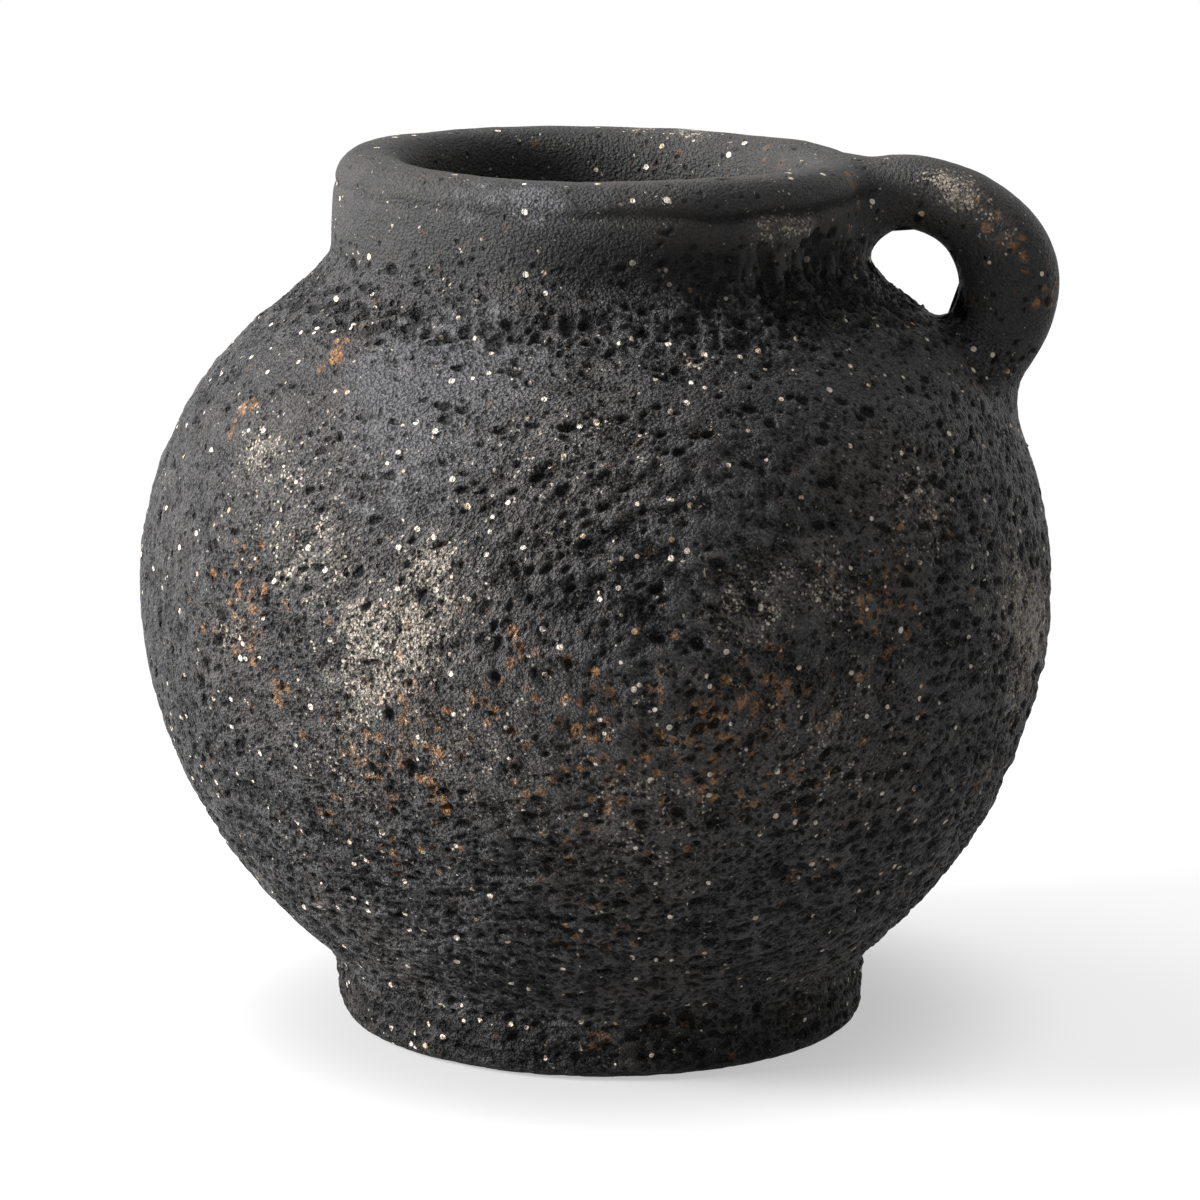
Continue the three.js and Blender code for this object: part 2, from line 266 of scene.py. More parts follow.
class Meridian:
    """The jar's half section: one line from the middle of the recess under the floor, over foot, belly and
    lip, and down the inside to the middle of the floor. It answers by length along itself, in mm."""

    STEP = 0.15
    BASE_SPREAD = 0.35

    def __init__(self, sizes: VesselSizes) -> None:
        """Lays the line out from its sizes and rounds its corners."""
        s = sizes
        inner_rise = s.collar_seat - s.belly_height
        inner_rise /= (1.0 - (s.mouth_radius / (s.belly_radius - s.wall)) ** s.shoulder_fullness) ** (
            1.0 / s.shoulder_fullness
        )
        inner_drop = s.underside_drop - s.wall
        reach = (s.belly_height - s.floor_height) / inner_drop
        floor_radius = (s.belly_radius - s.wall) * (1.0 - reach**s.underside_fullness) ** (
            1.0 / s.underside_fullness
        )
        corners = np.vstack([
            [[0.0, s.foot_recess], [s.foot_inner_radius, s.foot_recess]],
            round_arc(
                s.foot_inner_radius + s.foot_inner_rounding, s.foot_inner_rounding,
                s.foot_inner_rounding, math.pi, 1.5 * math.pi,
            ),
            round_arc(
                s.foot_radius - s.foot_draft - s.foot_outer_rounding, s.foot_outer_rounding,
                s.foot_outer_rounding, 1.5 * math.pi, TURN,
            ),
            s.oval(s.foot_radius, s.belly_radius, 0.0, -s.underside_drop, s.underside_fullness),
            s.oval(s.belly_radius, s.neck_seam_out, 0.0, s.shoulder_rise, s.shoulder_fullness),
            [[s.collar_radius, s.collar_seat + s.neck_seam_rise]],
            s.crown(),
            s.oval(s.mouth_radius, s.belly_radius - s.wall, s.wall, inner_rise, s.shoulder_fullness),
            s.oval(s.belly_radius - s.wall, floor_radius, s.wall, -inner_drop, s.underside_fullness),
            [[0.0, s.floor_height]],
        ])
        line = evenly(corners, self.STEP)
        spread = np.full(len(line), self.BASE_SPREAD)
        for spot in SOFT_SPOTS:
            away = np.hypot(line[:, 0] - spot.radius, line[:, 1] - spot.height)
            spread = np.maximum(spread, spot.spread * hill(away, 0.0, spot.reach))
        self.line = evenly(softened(line, spread), self.STEP)
        self.arc = arc_lengths(self.line)
        along = np.gradient(self.line, axis=0)
        self.normals = unit(np.stack([along[:, 1], -along[:, 0]], 1))
        self.sizes = sizes

    @property
    def length(self) -> float:
        """The whole line's length."""
        return float(self.arc[-1])

    def arc_near(self, radius: float, height: float) -> float:
        """Length along the line at its point nearest to a place."""
        away = np.hypot(self.line[:, 0] - radius, self.line[:, 1] - height)
        return float(self.arc[np.argmin(away)])

    def swept(self, arcs: Array, columns: int) -> tuple[Array, Array]:
        """Points and outward normals of the turned surface.

        Args:
            arcs: lengths along the line, one for each ring.
            columns: points to a ring.

        Returns:
            Two grids, rings by columns by three.
        """
        turn = np.arange(columns) * TURN / columns
        round_about = np.stack([np.cos(turn), np.sin(turn)], 1)
        grids = []
        for values in (self.line, self.normals):
            out = np.interp(arcs, self.arc, values[:, 0])
            up = np.interp(arcs, self.arc, values[:, 1])
            level = out[:, None, None] * round_about[None]
            grids.append(np.dstack([level, np.broadcast_to(up[:, None], level.shape[:2])]))
        return grids[0], unit(grids[1])


class NearTable:
    """Signed distance to the jar's outside in the section plane, tabled once by radius and height."""

    LOW = (18.0, 62.0)
    HIGH = (76.0, 130.0)
    STEP = 0.25
    MARGIN = 10.0
    INSIDE_ENDS_AT = 108.0

    def __init__(self, meridian: Meridian) -> None:
        """Measures each grid place to the nearest point of the line, along that point's normal."""
        last = meridian.arc_near(meridian.sizes.mouth_radius, self.INSIDE_ENDS_AT)
        outside = (meridian.line[:, 1] > self.LOW[1] - self.MARGIN) & (meridian.arc < last)
        line = meridian.line[outside]
        normals = meridian.normals[outside]
        counts = [int((self.HIGH[i] - self.LOW[i]) / self.STEP) + 1 for i in (0, 1)]
        radii, heights = (self.LOW[i] + self.STEP * np.arange(counts[i]) for i in (0, 1))
        table = np.zeros(counts)
        for row, radius in enumerate(radii):
            out = np.broadcast_to(radius - line[:, 0], (len(heights), len(line)))
            away = np.stack([out, heights[:, None] - line[None, :, 1]], -1)
            nearest = np.argmin((away**2).sum(-1), 1)
            picked = away[np.arange(len(heights)), nearest]
            table[row] = (picked * normals[nearest]).sum(-1)
        self.table = table

    def at(self, points: Array) -> Array:
        """Signed distance at places, read from the four grid values round each one."""
        radius = np.hypot(points[..., 0], points[..., 1])
        x = np.clip((radius - self.LOW[0]) / self.STEP, 0.0, self.table.shape[0] - 1.001)
        y = np.clip((points[..., 2] - self.LOW[1]) / self.STEP, 0.0, self.table.shape[1] - 1.001)
        i, j = x.astype(int), y.astype(int)
        u, v = x - i, y - j
        table = self.table
        low = table[i, j] * (1 - u) + table[i + 1, j] * u
        high = table[i, j + 1] * (1 - u) + table[i + 1, j + 1] * u
        return low * (1 - v) + high * v


@dataclass(frozen=True)
class HandleSizes:
    """Sizes of the loop handle, in mm."""

    width: float = 15.2
    arm_root_thickness: float = 9.7
    arm_thickness: float = 10.4
    grip_thickness: float = 13.8
    leg_thickness: float = 11.2
    squareness: float = 2.3


HANDLE_ROUTE = np.array([
    [31.0, 111.6],
    [35.5, 114.5],
    [39.5, 115.3],
    [44.0, 114.9],
    [49.6, 112.6],
    [54.0, 108.4],
    [56.1, 103.6],
    [55.4, 97.8],
    [53.0, 92.6],
    [51.6, 89.4],
    [47.6, 83.4],
])


class Handle:
    """The roll of clay bent from the lip to the shoulder, in the plane Y = 0."""

    ROUTE_STEP = 0.5
    ROUTE_SPREAD = 1.8
    ARM_FROM = 0.25
    GRIP_FROM = 0.6
    LEG_FROM = 0.9

    def __init__(self, sizes: HandleSizes) -> None:
        """Bends the route's corners round and measures its frame along the way."""
        line = evenly(HANDLE_ROUTE, self.ROUTE_STEP)
        line = evenly(softened(line, np.full(len(line), self.ROUTE_SPREAD)), self.ROUTE_STEP)
        self.line = line
        self.along = arc_lengths(line) / arc_lengths(line)[-1]
        self.length = float(arc_lengths(line)[-1])
        self.forward = unit(np.gradient(line, axis=0))
        self.outward = np.stack([-self.forward[:, 1], self.forward[:, 0]], 1)
        self.sizes = sizes

    def thickness(self, along: Array) -> Array:
        """How thick the roll is in the bend's plane, from the lip at 0 to the shoulder at 1."""
        s = self.sizes
        return (
            s.arm_root_thickness
            + (s.arm_thickness - s.arm_root_thickness) * eased(along, 0.0, self.ARM_FROM)
            + (s.grip_thickness - s.arm_thickness) * eased(along, self.ARM_FROM, self.GRIP_FROM)
            + (s.leg_thickness - s.grip_thickness) * eased(along, self.GRIP_FROM, self.LEG_FROM)
        )

    def surface(self, along: Array, turn: Array) -> Array:
        """Points of the roll's skin: centre + outward * a cos^(2/n) - across * b sin^(2/n).

        Args:
            along: share of the route, one for each ring.
            turn: angle round the roll, one for each column, or a grid of them.

        Returns:
            A grid, rings by columns by three.
        """
        power = 2.0 / self.sizes.squareness
        cosine = np.sign(np.cos(turn)) * np.abs(np.cos(turn)) ** power
        sine = np.sign(np.sin(turn)) * np.abs(np.sin(turn)) ** power
        centre, outward = (
            np.stack([np.interp(along, self.along, values[:, i]) for i in (0, 1)], -1)
            for values in (self.line, self.outward)
        )
        half = self.thickness(along) / 2.0
        shift = half[:, None] * cosine
        x = centre[:, :1] + shift * outward[:, :1]
        z = centre[:, 1:] + shift * outward[:, 1:]
        y = np.broadcast_to(-self.sizes.width / 2.0 * sine, x.shape)
        return np.stack([x, y, z], -1)

    def distance(self, points: Array) -> Array:
        """Signed distance to the roll, close to true near its skin: k(k - 1) over the length of k's gradient,
        where k is the place's size in units of the section's half axes."""
        flat = points.reshape(-1, 3)
        away = flat[:, None, [0, 2]] - self.line[None]
        nearest = np.argmin((away**2).sum(-1), 1)
        offset = away[np.arange(len(flat)), nearest]
        out = (offset * self.outward[nearest]).sum(-1)
        past = (offset * self.forward[nearest]).sum(-1)
        past = np.where((nearest == 0) | (nearest == len(self.line) - 1), past, 0.0)
        half = self.thickness(self.along[nearest]) / 2.0
        half_width = self.sizes.width / 2.0
        power = self.sizes.squareness
        axes = np.stack([np.abs(out) / half, np.abs(flat[:, 1]) / half_width, np.abs(past) / half], 1)
        scales = np.stack([half, np.full_like(half, half_width), half], 1)
        size = np.maximum((axes**power).sum(1), 1e-9) ** (1.0 / power)
        slope = (axes / size[:, None]) ** (power - 1.0) / scales
        reach = (size - 1.0) / np.maximum(np.linalg.norm(slope, axis=1), 1e-9)
        return reach.reshape(points.shape[:-1])


class JoinedForm:
    """Vessel and handle worked into one skin. Where both are near, the clay fills the corner between them:
    the lesser distance, less (k - |difference|)^2 / 4k inside the reach k."""

    REACH_HEIGHTS = (84.0, 97.0, 103.0, 109.0, 116.0, 119.5)
    REACHES = (5.5, 4.0, 5.0, 6.5, 5.0, 2.6)
    PROBE = 0.05
    SETTLING_ROUNDS = 6
    LEAST_STEEPNESS = 0.05

    def __init__(self, vessel: NearTable, handle: Handle) -> None:
        """Keeps the two shapes that meet."""
        self.vessel = vessel
        self.handle = handle

    def reach(self, points: Array) -> Array:
        """How far from the corner the filling starts, by height."""
        return np.interp(points[..., 2], self.REACH_HEIGHTS, self.REACHES)

    def distance(self, points: Array) -> Array:
        """Signed distance to the joined skin."""
        to_vessel = self.vessel.at(points)
        to_handle = self.handle.distance(points)
        reach = self.reach(points)
        overlap = np.maximum(reach - np.abs(to_vessel - to_handle), 0.0)
        return np.minimum(to_vessel, to_handle) - overlap**2 / (4.0 * reach)

    def gradient(self, points: Array, measure: Measure) -> Array:
        """Slope of a distance at places, by differences over a short probe."""
        steps = np.eye(3) * self.PROBE
        slopes = [(measure(points + step) - measure(points - step)) / (2.0 * self.PROBE) for step in steps]
        return np.stack(slopes, -1)

    def settled(self, points: Array) -> tuple[Array, Array]:
        """Places moved along the slope on to the joined skin, with the skin's normals there."""
        for _ in range(self.SETTLING_ROUNDS):
            slope = self.gradient(points, self.distance)
            steepness = np.maximum((slope**2).sum(-1, keepdims=True), self.LEAST_STEEPNESS)
            points = points - slope * self.distance(points)[..., None] / steepness
        return points, unit(self.gradient(points, self.distance))


@dataclass(frozen=True)
class HandStray:
    """How the hand-built jar strays from a turned one: out of round, mouth and foot off the belly's axis,
    and the mouth tipped towards the handle. The same as the frame's."""

    out_of_round: float = 0.006
    out_of_round_turn: float = 1.7
    mouth_drift: float = 1.0
    mouth_tilt: float = 0.014
    foot_drift: float = 0.9
    drift_fade: float = 6.0
    tilt_fade: float = 4.0

    def applied(self, points: Array, rim_top: float) -> Array:
        """Points moved by the stray."""
        x, y, z = points[..., 0], points[..., 1], points[..., 2]
        height = np.clip(z / rim_top, 0.0, 1.1)
        swell = 1.0 + self.out_of_round * np.cos(2.0 * np.arctan2(y, x) + self.out_of_round_turn)
        drift = self.mouth_drift * height**self.drift_fade
        drift = drift + self.foot_drift * np.clip(1.0 - height, 0.0, 1.0) ** self.drift_fade
        return np.stack([x * swell + drift, y * swell, z - x * self.mouth_tilt * height**self.tilt_fade], -1)


# What hands, pebble and fire left on the skin, and painted shade and highlight


@dataclass(frozen=True)
class PitSize:
    """One size of pit where temper burnt or fell out: at most one to a cubic cell."""

    cell: float
    small: float
    large: float
    depth: float
    drawn_out: float
    share: float
    seed: int


PIT_SIZES = (
    PitSize(cell=5.2, small=0.5, large=1.0, depth=0.9, drawn_out=1.6, share=0.2, seed=11),
    PitSize(cell=2.3, small=0.36, large=0.75, depth=0.78, drawn_out=1.8, share=0.98, seed=23),
    PitSize(cell=1.35, small=0.26, large=0.45, depth=0.44, drawn_out=1.5, share=1.0, seed=37),
)


@dataclass(frozen=True)
class Patch:
    """A soft-edged patch on the skin: a direction round the jar in degrees, a height, a reach and a strength,
    and a distance from the axis where it isn't on the jar's outside."""

    azimuth: float
    height: float
    reach: float
    strength: float = 1.0
    radius: float = 0.0


CREAM_CRUST = (
    Patch(-110, 75, 3.4, 0.8),
    Patch(-113, 65, 5.2, 1.0),
    Patch(-119, 66, 4.2, 0.9),
    Patch(-116, 58, 4.0, 0.8),
    Patch(-121, 58, 3.4, 0.7),
    Patch(-105, 70, 4.5, 0.36),
    Patch(-127, 73, 4.5, 0.5),
    Patch(-143, 86, 4.5, 0.45),
    Patch(-140, 62, 3.5, 0.4),
    Patch(-28, 64, 4.5, 0.8),
    Patch(-20, 59, 6.0, 1.25),
    Patch(-23, 52, 4.5, 0.8),
    Patch(-74, 98.5, 1.1, 1.6),
    Patch(-62, 72, 4.5, 0.45),
    Patch(-72, 69, 5.0, 0.4),
    Patch(-46, 80, 6.0, 0.35),
    Patch(-42, 12, 4.0, 0.6),
    Patch(-122, 48, 9.0, 0.2),
    Patch(-103, 50, 9.0, 0.19),
    Patch(-85, 42, 10.0, 0.24),
    Patch(-62, 50, 10.0, 0.26),
    Patch(-95, 88, 12.0, 0.14),
    Patch(-130, 80, 10.0, 0.22),
    Patch(62, 66, 6.0, 0.7),
    Patch(95, 84, 5.0, 0.6),
    Patch(128, 55, 6.0, 0.8),
    Patch(160, 74, 5.0, 0.6),
    Patch(20, 48, 4.0, 0.5),
    Patch(-8, 117.5, 2.4, 0.9, radius=46.5),
    Patch(-8, 115.5, 2.2, 0.8, radius=49.0),
    Patch(-7, 111, 2.4, 0.4, radius=54.0),
    Patch(66, 119.3, 2.8, 0.8, radius=30.5),
    Patch(78, 119.3, 2.6, 0.6, radius=30.5),
    Patch(-55, 113.4, 1.8, 0.6),
    Patch(-49, 113.2, 1.8, 0.7),
    Patch(-43, 112.8, 1.8, 0.7),
)

RUST = (
    Patch(-112, 53, 9.0, 0.55),
    Patch(-96, 58, 7.0, 0.45),
    Patch(-78, 55, 9.0, 0.5),
    Patch(-55, 66, 8.0, 0.5),
    Patch(-138, 66, 8.0, 0.45),
    Patch(-118, 40, 9.0, 0.42),
    Patch(-90, 44, 9.0, 0.42),
    Patch(-66, 50, 8.0, 0.4),
    Patch(-138, 97, 2.2, 1.0),
    Patch(-150, 89, 2.4, 0.9),
    Patch(-99, 64, 2.0, 1.0),
    Patch(-113, 61, 2.4, 0.8),
    Patch(-92, 23, 3.4, 1.0),
    Patch(-88, 25, 2.4, 0.9),
    Patch(-57, 71, 3.0, 1.0),
    Patch(-52, 74, 2.6, 0.9),
    Patch(-45, 78, 2.8, 0.7),
    Patch(-74, 58, 3.0, 0.9),
    Patch(-69, 60, 3.2, 0.9),
    Patch(-77, 53, 3.4, 0.7),
    Patch(-111, 48, 3.4, 0.8),
    Patch(-116, 49, 3.0, 0.7),
    Patch(-127, 52, 3.0, 0.5),
    Patch(-137, 62, 2.4, 0.8),
    Patch(-131, 56, 2.2, 0.7),
    Patch(-91, 6, 2.4, 0.8),
    Patch(-60, 32, 3.2, 0.5),
    Patch(-30, 40, 3.0, 0.5),
    Patch(10, 70, 3.0, 0.9),
    Patch(40, 52, 3.6, 0.9),
    Patch(75, 90, 2.8, 0.9),
    Patch(88, 40, 3.4, 0.8),
    Patch(110, 68, 3.0, 1.0),
    Patch(140, 84, 2.6, 0.8),
    Patch(152, 38, 3.4, 0.9),
    Patch(176, 60, 3.0, 0.9),
    Patch(-7, 112.5, 2.6, 0.6, radius=52.0),
    Patch(-6, 109.5, 2.6, 0.5, radius=56.0),
    Patch(-4, 103, 3.6, 0.5, radius=61.5),
    Patch(-22, 118, 4.0, 0.35, radius=33.0),
)

# Burnished patches, which are also lightened in colour as painted highlight on the shoulder and the lip.
BURNISH_AND_PAINTED_HIGHLIGHT = (
    Patch(-112, 101, 5.5, 1.1),
    Patch(-103, 98, 5.0, 0.9),
    Patch(-123, 97, 6.0, 0.6),
    Patch(-112, 94, 13.0, 0.5),
    Patch(-118, 84, 14.0, 0.45),
    Patch(-125, 98, 9.0, 0.6),
    Patch(-20, 59, 6.5, 1.0),
    Patch(-104, 118, 5.0, 0.8),
    Patch(-118, 118, 5.0, 0.6),
    Patch(70, 98, 9.0, 0.8),
    Patch(150, 100, 8.0, 0.7),
)

ROUGH_SPOTS = (
    Patch(-92, 77, 17.0, 0.4),
    Patch(-130, 92, 17.0, -0.3),
    Patch(-100, 98, 10.0, -0.2),
    Patch(-70, 72, 18.0, 0.35),
    Patch(-20, 50, 22.0, 0.3),
    Patch(40, 75, 22.0, 0.45),
    Patch(120, 60, 24.0, 0.45),
)

STROKE_CENTRES = (Patch(-84, 62, 34.0), Patch(4, 66, 34.0), Patch(92, 58, 34.0), Patch(178, 64, 34.0))


class ClaySkin:
    """Relief, stains, painted shade and painted highlight of the skin as functions of the place, so that
    pieces agree where they meet.
    """

    SMEAR_REACH = 0.4
    SMEAR_STEPS = 3
    INSET = 0.32
    STIFF = 12.0
    CLEARANCE = 0.03
    PIT_THROUGH = 0.7
    PITTED_JOIN = 101.5
    TORN_JOIN = 101.8
    DRAGGED_HEIGHT = 106.5
    LIP_CREASE = 115.6
    FOOT_CREASE = 8.6
    CREASE_WIDTH = 0.8
    # Middle of the painted shade under the lip, on the collar's front.
    LIP_SHADOW_HEIGHT = 109.5
    LIP_SHADOW_AZIMUTH = -84.0

    def __init__(self, meridian: Meridian) -> None:
        """Keeps the section, which patches are laid on."""
        self.meridian = meridian

    def centre(self, patch: Patch) -> Array:
        """A patch's middle: on the jar's outside, or where the patch says."""
        line = self.meridian.line[: np.argmax(self.meridian.line[:, 1])]
        above = line[line[:, 0] > 30.0]
        radius = patch.radius or above[np.argmin(np.abs(above[:, 1] - patch.height)), 0]
        turn = math.radians(patch.azimuth)
        return np.array([radius * math.cos(turn), radius * math.sin(turn), patch.height])

    def stain(self, points: Array, patches: tuple[Patch, ...], ragged: float, seed: int) -> Array:
        """Strength of a set of patches, from 0 to 1, with edges broken by noise.

        Args:
            points: places on the skin.
            patches: the patches laid on it.
            ragged: how much the noise moves their edges.
            seed: picks the noise.

        Returns:
            The strength at each place.
        """
        total = np.zeros(points.shape[:-1])
        for patch in patches:
            away = np.linalg.norm(points - self.centre(patch), axis=-1)
            total += patch.strength * hill(away, 0.0, patch.reach)
        broken = 1.0 + ragged * noise(points, 2.6, seed) + 0.6 * ragged * noise(points, 1.1, seed + 1)
        return np.clip(total * broken, 0.0, 1.0)

    def strokes(self, points: Array, normals: Array) -> Array:
        """Direction of the worked clay at each place: round the jar, but circling each stroke centre near it.
        Directions are blended as doubled angles, so that a stroke and its reverse count alike."""
        turn = np.arctan2(points[..., 1], points[..., 0])
        level = np.stack([-np.sin(turn), np.cos(turn), np.zeros_like(turn)], -1)
        cosine = np.full(turn.shape, 0.35)
        sine = np.zeros(turn.shape)
        for patch in STROKE_CENTRES:
            centre = self.centre(patch)
            gap = points - centre
            across = (gap * level).sum(-1)
            up = gap[..., 2]
            away2 = across**2 + up**2 + 30.0
            near = np.exp(-(gap**2).sum(-1) / patch.reach**2) * (1.0 - 30.0 / away2)
            cosine += near * (up**2 - across**2) / away2
            sine += near * (-2.0 * across * up) / away2
        angle = 0.5 * np.arctan2(sine, cosine) + 0.6 * noise(points, 11.0, 71)
        guide = level * np.cos(angle)[..., None] + np.array([0.0, 0.0, 1.0]) * np.sin(angle)[..., None]
        guide = guide - normals * (guide * normals).sum(-1, keepdims=True)
        return unit(guide + 1e-4)

    def smeared(self, points: Array, strokes: Array, size: float, seed: int) -> Array:
        """Noise drawn out along the strokes: its average over a short way to both sides."""
        total = np.zeros(points.shape[:-1])
        for shift in np.linspace(-self.SMEAR_REACH, self.SMEAR_REACH, self.SMEAR_STEPS):
            total += noise(points + strokes * shift * size, size, seed)
        return total / math.sqrt(self.SMEAR_STEPS)

    def pitting(self, points: Array) -> Array:
        """How thickly the skin is pitted, from 0 to 1: most on the lower third and in the neck's join."""
        turn, radius, height = round_about(points)
        density = 0.42 + 0.48 * eased(height, 56.0, 30.0) + 0.2 * noise(points, 19.0, 5)
        density = density + 0.35 * hill(height, self.PITTED_JOIN, 4.0)
        left = hill(turn, -138.0, 34.0) * eased(height, 70.0, 84.0)
        right = hill(turn, -28.0, 30.0) * eased(height, 98.0, 80.0)
        density = density - 0.3 * left + 0.25 * right
        lip = eased(height, 107.0, 112.0)
        torn = hill(turn, -40.0, 22.0) * eased(height, 115.0, 108.0)
        density = density * (1.0 - 0.85 * lip) + 0.6 * lip * torn
        handle = eased(radius - 46.0, 0.0, 4.0) * eased(height, 92.0, 97.0)
        density = density * (1.0 - 0.85 * handle)
        return np.clip(density, 0.0, 1.0)

    def knobbly(self, points: Array) -> Array:
        """How rough the crumbs stand, from 0 to 1: most at the middle of the front and low down, least where
        wet fingers smoothed the lip, the collar and the handle."""
        _, radius, height = round_about(points)
        rough = 0.38 + 0.22 * eased(height, 50.0, 25.0) + 0.12 * noise(points, 16.0, 8)
        for patch in ROUGH_SPOTS:
            away = np.linalg.norm(points - self.centre(patch), axis=-1)
            rough = rough + patch.strength * hill(away, 0.0, patch.reach)
        on_handle = eased(radius, 47.0, 50.0) * eased(height, 90.0, 95.0)
        smoothed = np.maximum(eased(height, 103.0, 107.0), on_handle)
        return np.clip(rough, 0.0, 1.0) * (1.0 - 0.8 * smoothed)

    def pits(self, points: Array, normals: Array, strokes: Array) -> Array:
        """Depth of the pits at each place. Space is cut into cells with at most one pit each, an egg drawn
        out along the strokes and deep through the skin, so that a cell's pit shows wherever the skin crosses
        the cell. Depth falls from its middle to its edge by (1 - d^2)^0.7, d in units of its size."""
        density = self.pitting(points)
        warp = np.stack([noise(points, 1.3, seed) for seed in (81, 82, 83)], -1)
        bent = points + 0.32 * warp
        deepest = np.zeros(points.shape[:-1])
        for size in PIT_SIZES:
            base = np.floor(bent / size.cell - 0.5)
            for corner in CORNERS:
                cell = base + corner
                shift = np.stack([hashed(cell, size.seed + i) for i in range(3)], -1)
                centre = (cell + 0.5 + 0.5 * (shift - 0.5)) * size.cell
                chance = hashed(cell, size.seed + 3)
                width = size.small + (size.large - size.small) * hashed(cell, size.seed + 4) ** 2
                gap = bent - centre
                through = (gap * normals).sum(-1)
                lengthwise = (gap * strokes).sum(-1)
                level2 = (gap**2).sum(-1) - through**2 + lengthwise**2 * (1.0 / size.drawn_out**2 - 1.0)
                apart2 = level2 / width**2 + (through / (self.PIT_THROUGH * size.cell)) ** 2
                depth = size.depth * (width / size.large) * np.clip(1.0 - apart2, 0.0, 1.0) ** 0.7
                here = np.clip((density * size.share - chance) / 0.08, 0.0, 1.0)
                deepest = np.maximum(deepest, depth * here)
        return deepest

    def torn(self, points: Array) -> Array:
        """The neck's join: upright tears and crumbs where the collar's clay was dragged down."""
        turn, radius, height = round_about(points)
        on_neck = eased(radius, 46.0, 43.5)
        band = hill(height, self.TORN_JOIN, 2.6)
        dragged = hill(height, self.DRAGGED_HEIGHT, 4.5) * hill(turn, -42.0, 22.0)
        squeezed = points * np.array([1.0, 1.0, 0.5])
        ragged = np.abs(noise(squeezed, 1.9, 91)) + 0.5 * np.abs(noise(squeezed, 0.9, 92))
        streaked = points * np.array([1.0, 1.0, 0.3])
        scored = np.abs(noise(streaked, 1.3, 93)) + 0.4 * np.abs(noise(streaked, 0.7, 94))
        tears = band * np.clip(0.33 - ragged, -0.6, 0.08) + 3.0 * dragged * np.clip(0.18 - scored, -0.3, 0.03)
        return on_neck * 1.3 * tears

    def creases(self, points: Array) -> Array:
        """Depth of two creases: under the lip's lower edge, deepest towards the handle, and over the foot."""
        turn, radius, height = round_about(points)
        wavy = 0.5 * noise(points, 6.0, 95)
        under_lip = hill(height - self.LIP_CREASE, wavy, self.CREASE_WIDTH) * eased(radius, 33.0, 34.5)
        under_lip = under_lip * eased(radius, 38.5, 37.5) * (0.25 + 0.75 * hill(turn, -45.0, 40.0))
        over_foot = hill(height - self.FOOT_CREASE, wavy, self.CREASE_WIDTH) * eased(radius, 33.0, 34.0)
        return 1.2 * under_lip + 0.6 * over_foot * (0.5 + 0.5 * noise(points, 5.0, 96))

    def painted_lip_shadow(self, points: Array) -> Array:
        """Painted shade under the lip, from 0 to 1: most at the collar's front."""
        turn, _, height = round_about(points)
        return hill(height, self.LIP_SHADOW_HEIGHT, 5.0) * hill(turn, self.LIP_SHADOW_AZIMUTH, 30.0)

    def relief(self, points: Array, normals: Array, fine: float = 1.0) -> tuple[Array, dict[str, Array]]:
        """Height of the skin over the smooth form, and its stains, painted shade and painted highlight among
        them. What would stand out past the form is pressed back by -log(1 + exp(-stiff * height)) / stiff.

        Args:
            points: places on the smooth form.
            normals: its outward normals there.
            fine: how much of the small relief is wanted.

        Returns:
            The height in mm at each place, and the named stains, each from 0 to 1.
        """
        strokes = self.strokes(points, normals)
        lumps = 0.3 * noise(points, 26.0, 1) + 0.17 * noise(points, 11.0, 2) + 0.08 * noise(points, 5.0, 3)
        crumbs = 0.35 * self.smeared(points, strokes, 1.9, 4) + 0.22 * self.smeared(points, strokes, 0.95, 6)
        crumbs = crumbs * self.knobbly(points)
        pits = self.pits(points, normals, strokes)
        torn = self.torn(points)
        creases = self.creases(points)
        height = lumps - self.INSET + fine * (crumbs - pits + torn) - creases
        height = -np.logaddexp(0.0, -self.STIFF * height) / self.STIFF - self.CLEARANCE
        standing = eased(points[..., 2], 3.0, 0.8)
        height = np.where(standing > 0.0, np.minimum(height, 0.0) * (1.0 - 0.8 * standing), height)
        # Painted shade: the colour darkens in pits, tears and creases and on the collar under the lip, where
        # shade falls.
        dark = pits * fine / 0.45 - np.minimum(torn, 0.0) * 0.9 + 0.4 * creases + 0.6 * self.painted_lip_shadow(points)
        stains = {
            "pit": np.clip(dark, 0.0, 1.0),
            "crust": self.stain(points, CREAM_CRUST, 0.9, 51),
            "rust": self.stain(points, RUST, 0.9, 61),
            "sheen": self.stain(points, BURNISH_AND_PAINTED_HIGHLIGHT, 0.3, 66),
            "ridge": np.clip(0.5 + 2.0 * crumbs, 0.0, 1.0),
            "coarse": self.pitting(points),
            "stroke": strokes,
        }
        return height, stains


# Meshes


@dataclass
class Rings:
    """A stack of rings, each a row of points round the piece, with their normals and stains."""

    points: list[Array] = field(default_factory=list)
    normals: list[Array] = field(default_factory=list)
    stains: list[dict[str, Array]] = field(default_factory=list)

    def add(self, points: Array, normals: Array, stains: dict[str, Array]) -> None:
        """Adds one ring."""
        self.points.append(points)
        self.normals.append(normals)
        self.stains.append(stains)

    def add_hidden(self, points: Array) -> None:
        """Adds a ring that lies inside the clay, whose normals Blender works out itself."""
        self.add(points, np.zeros_like(points), {})


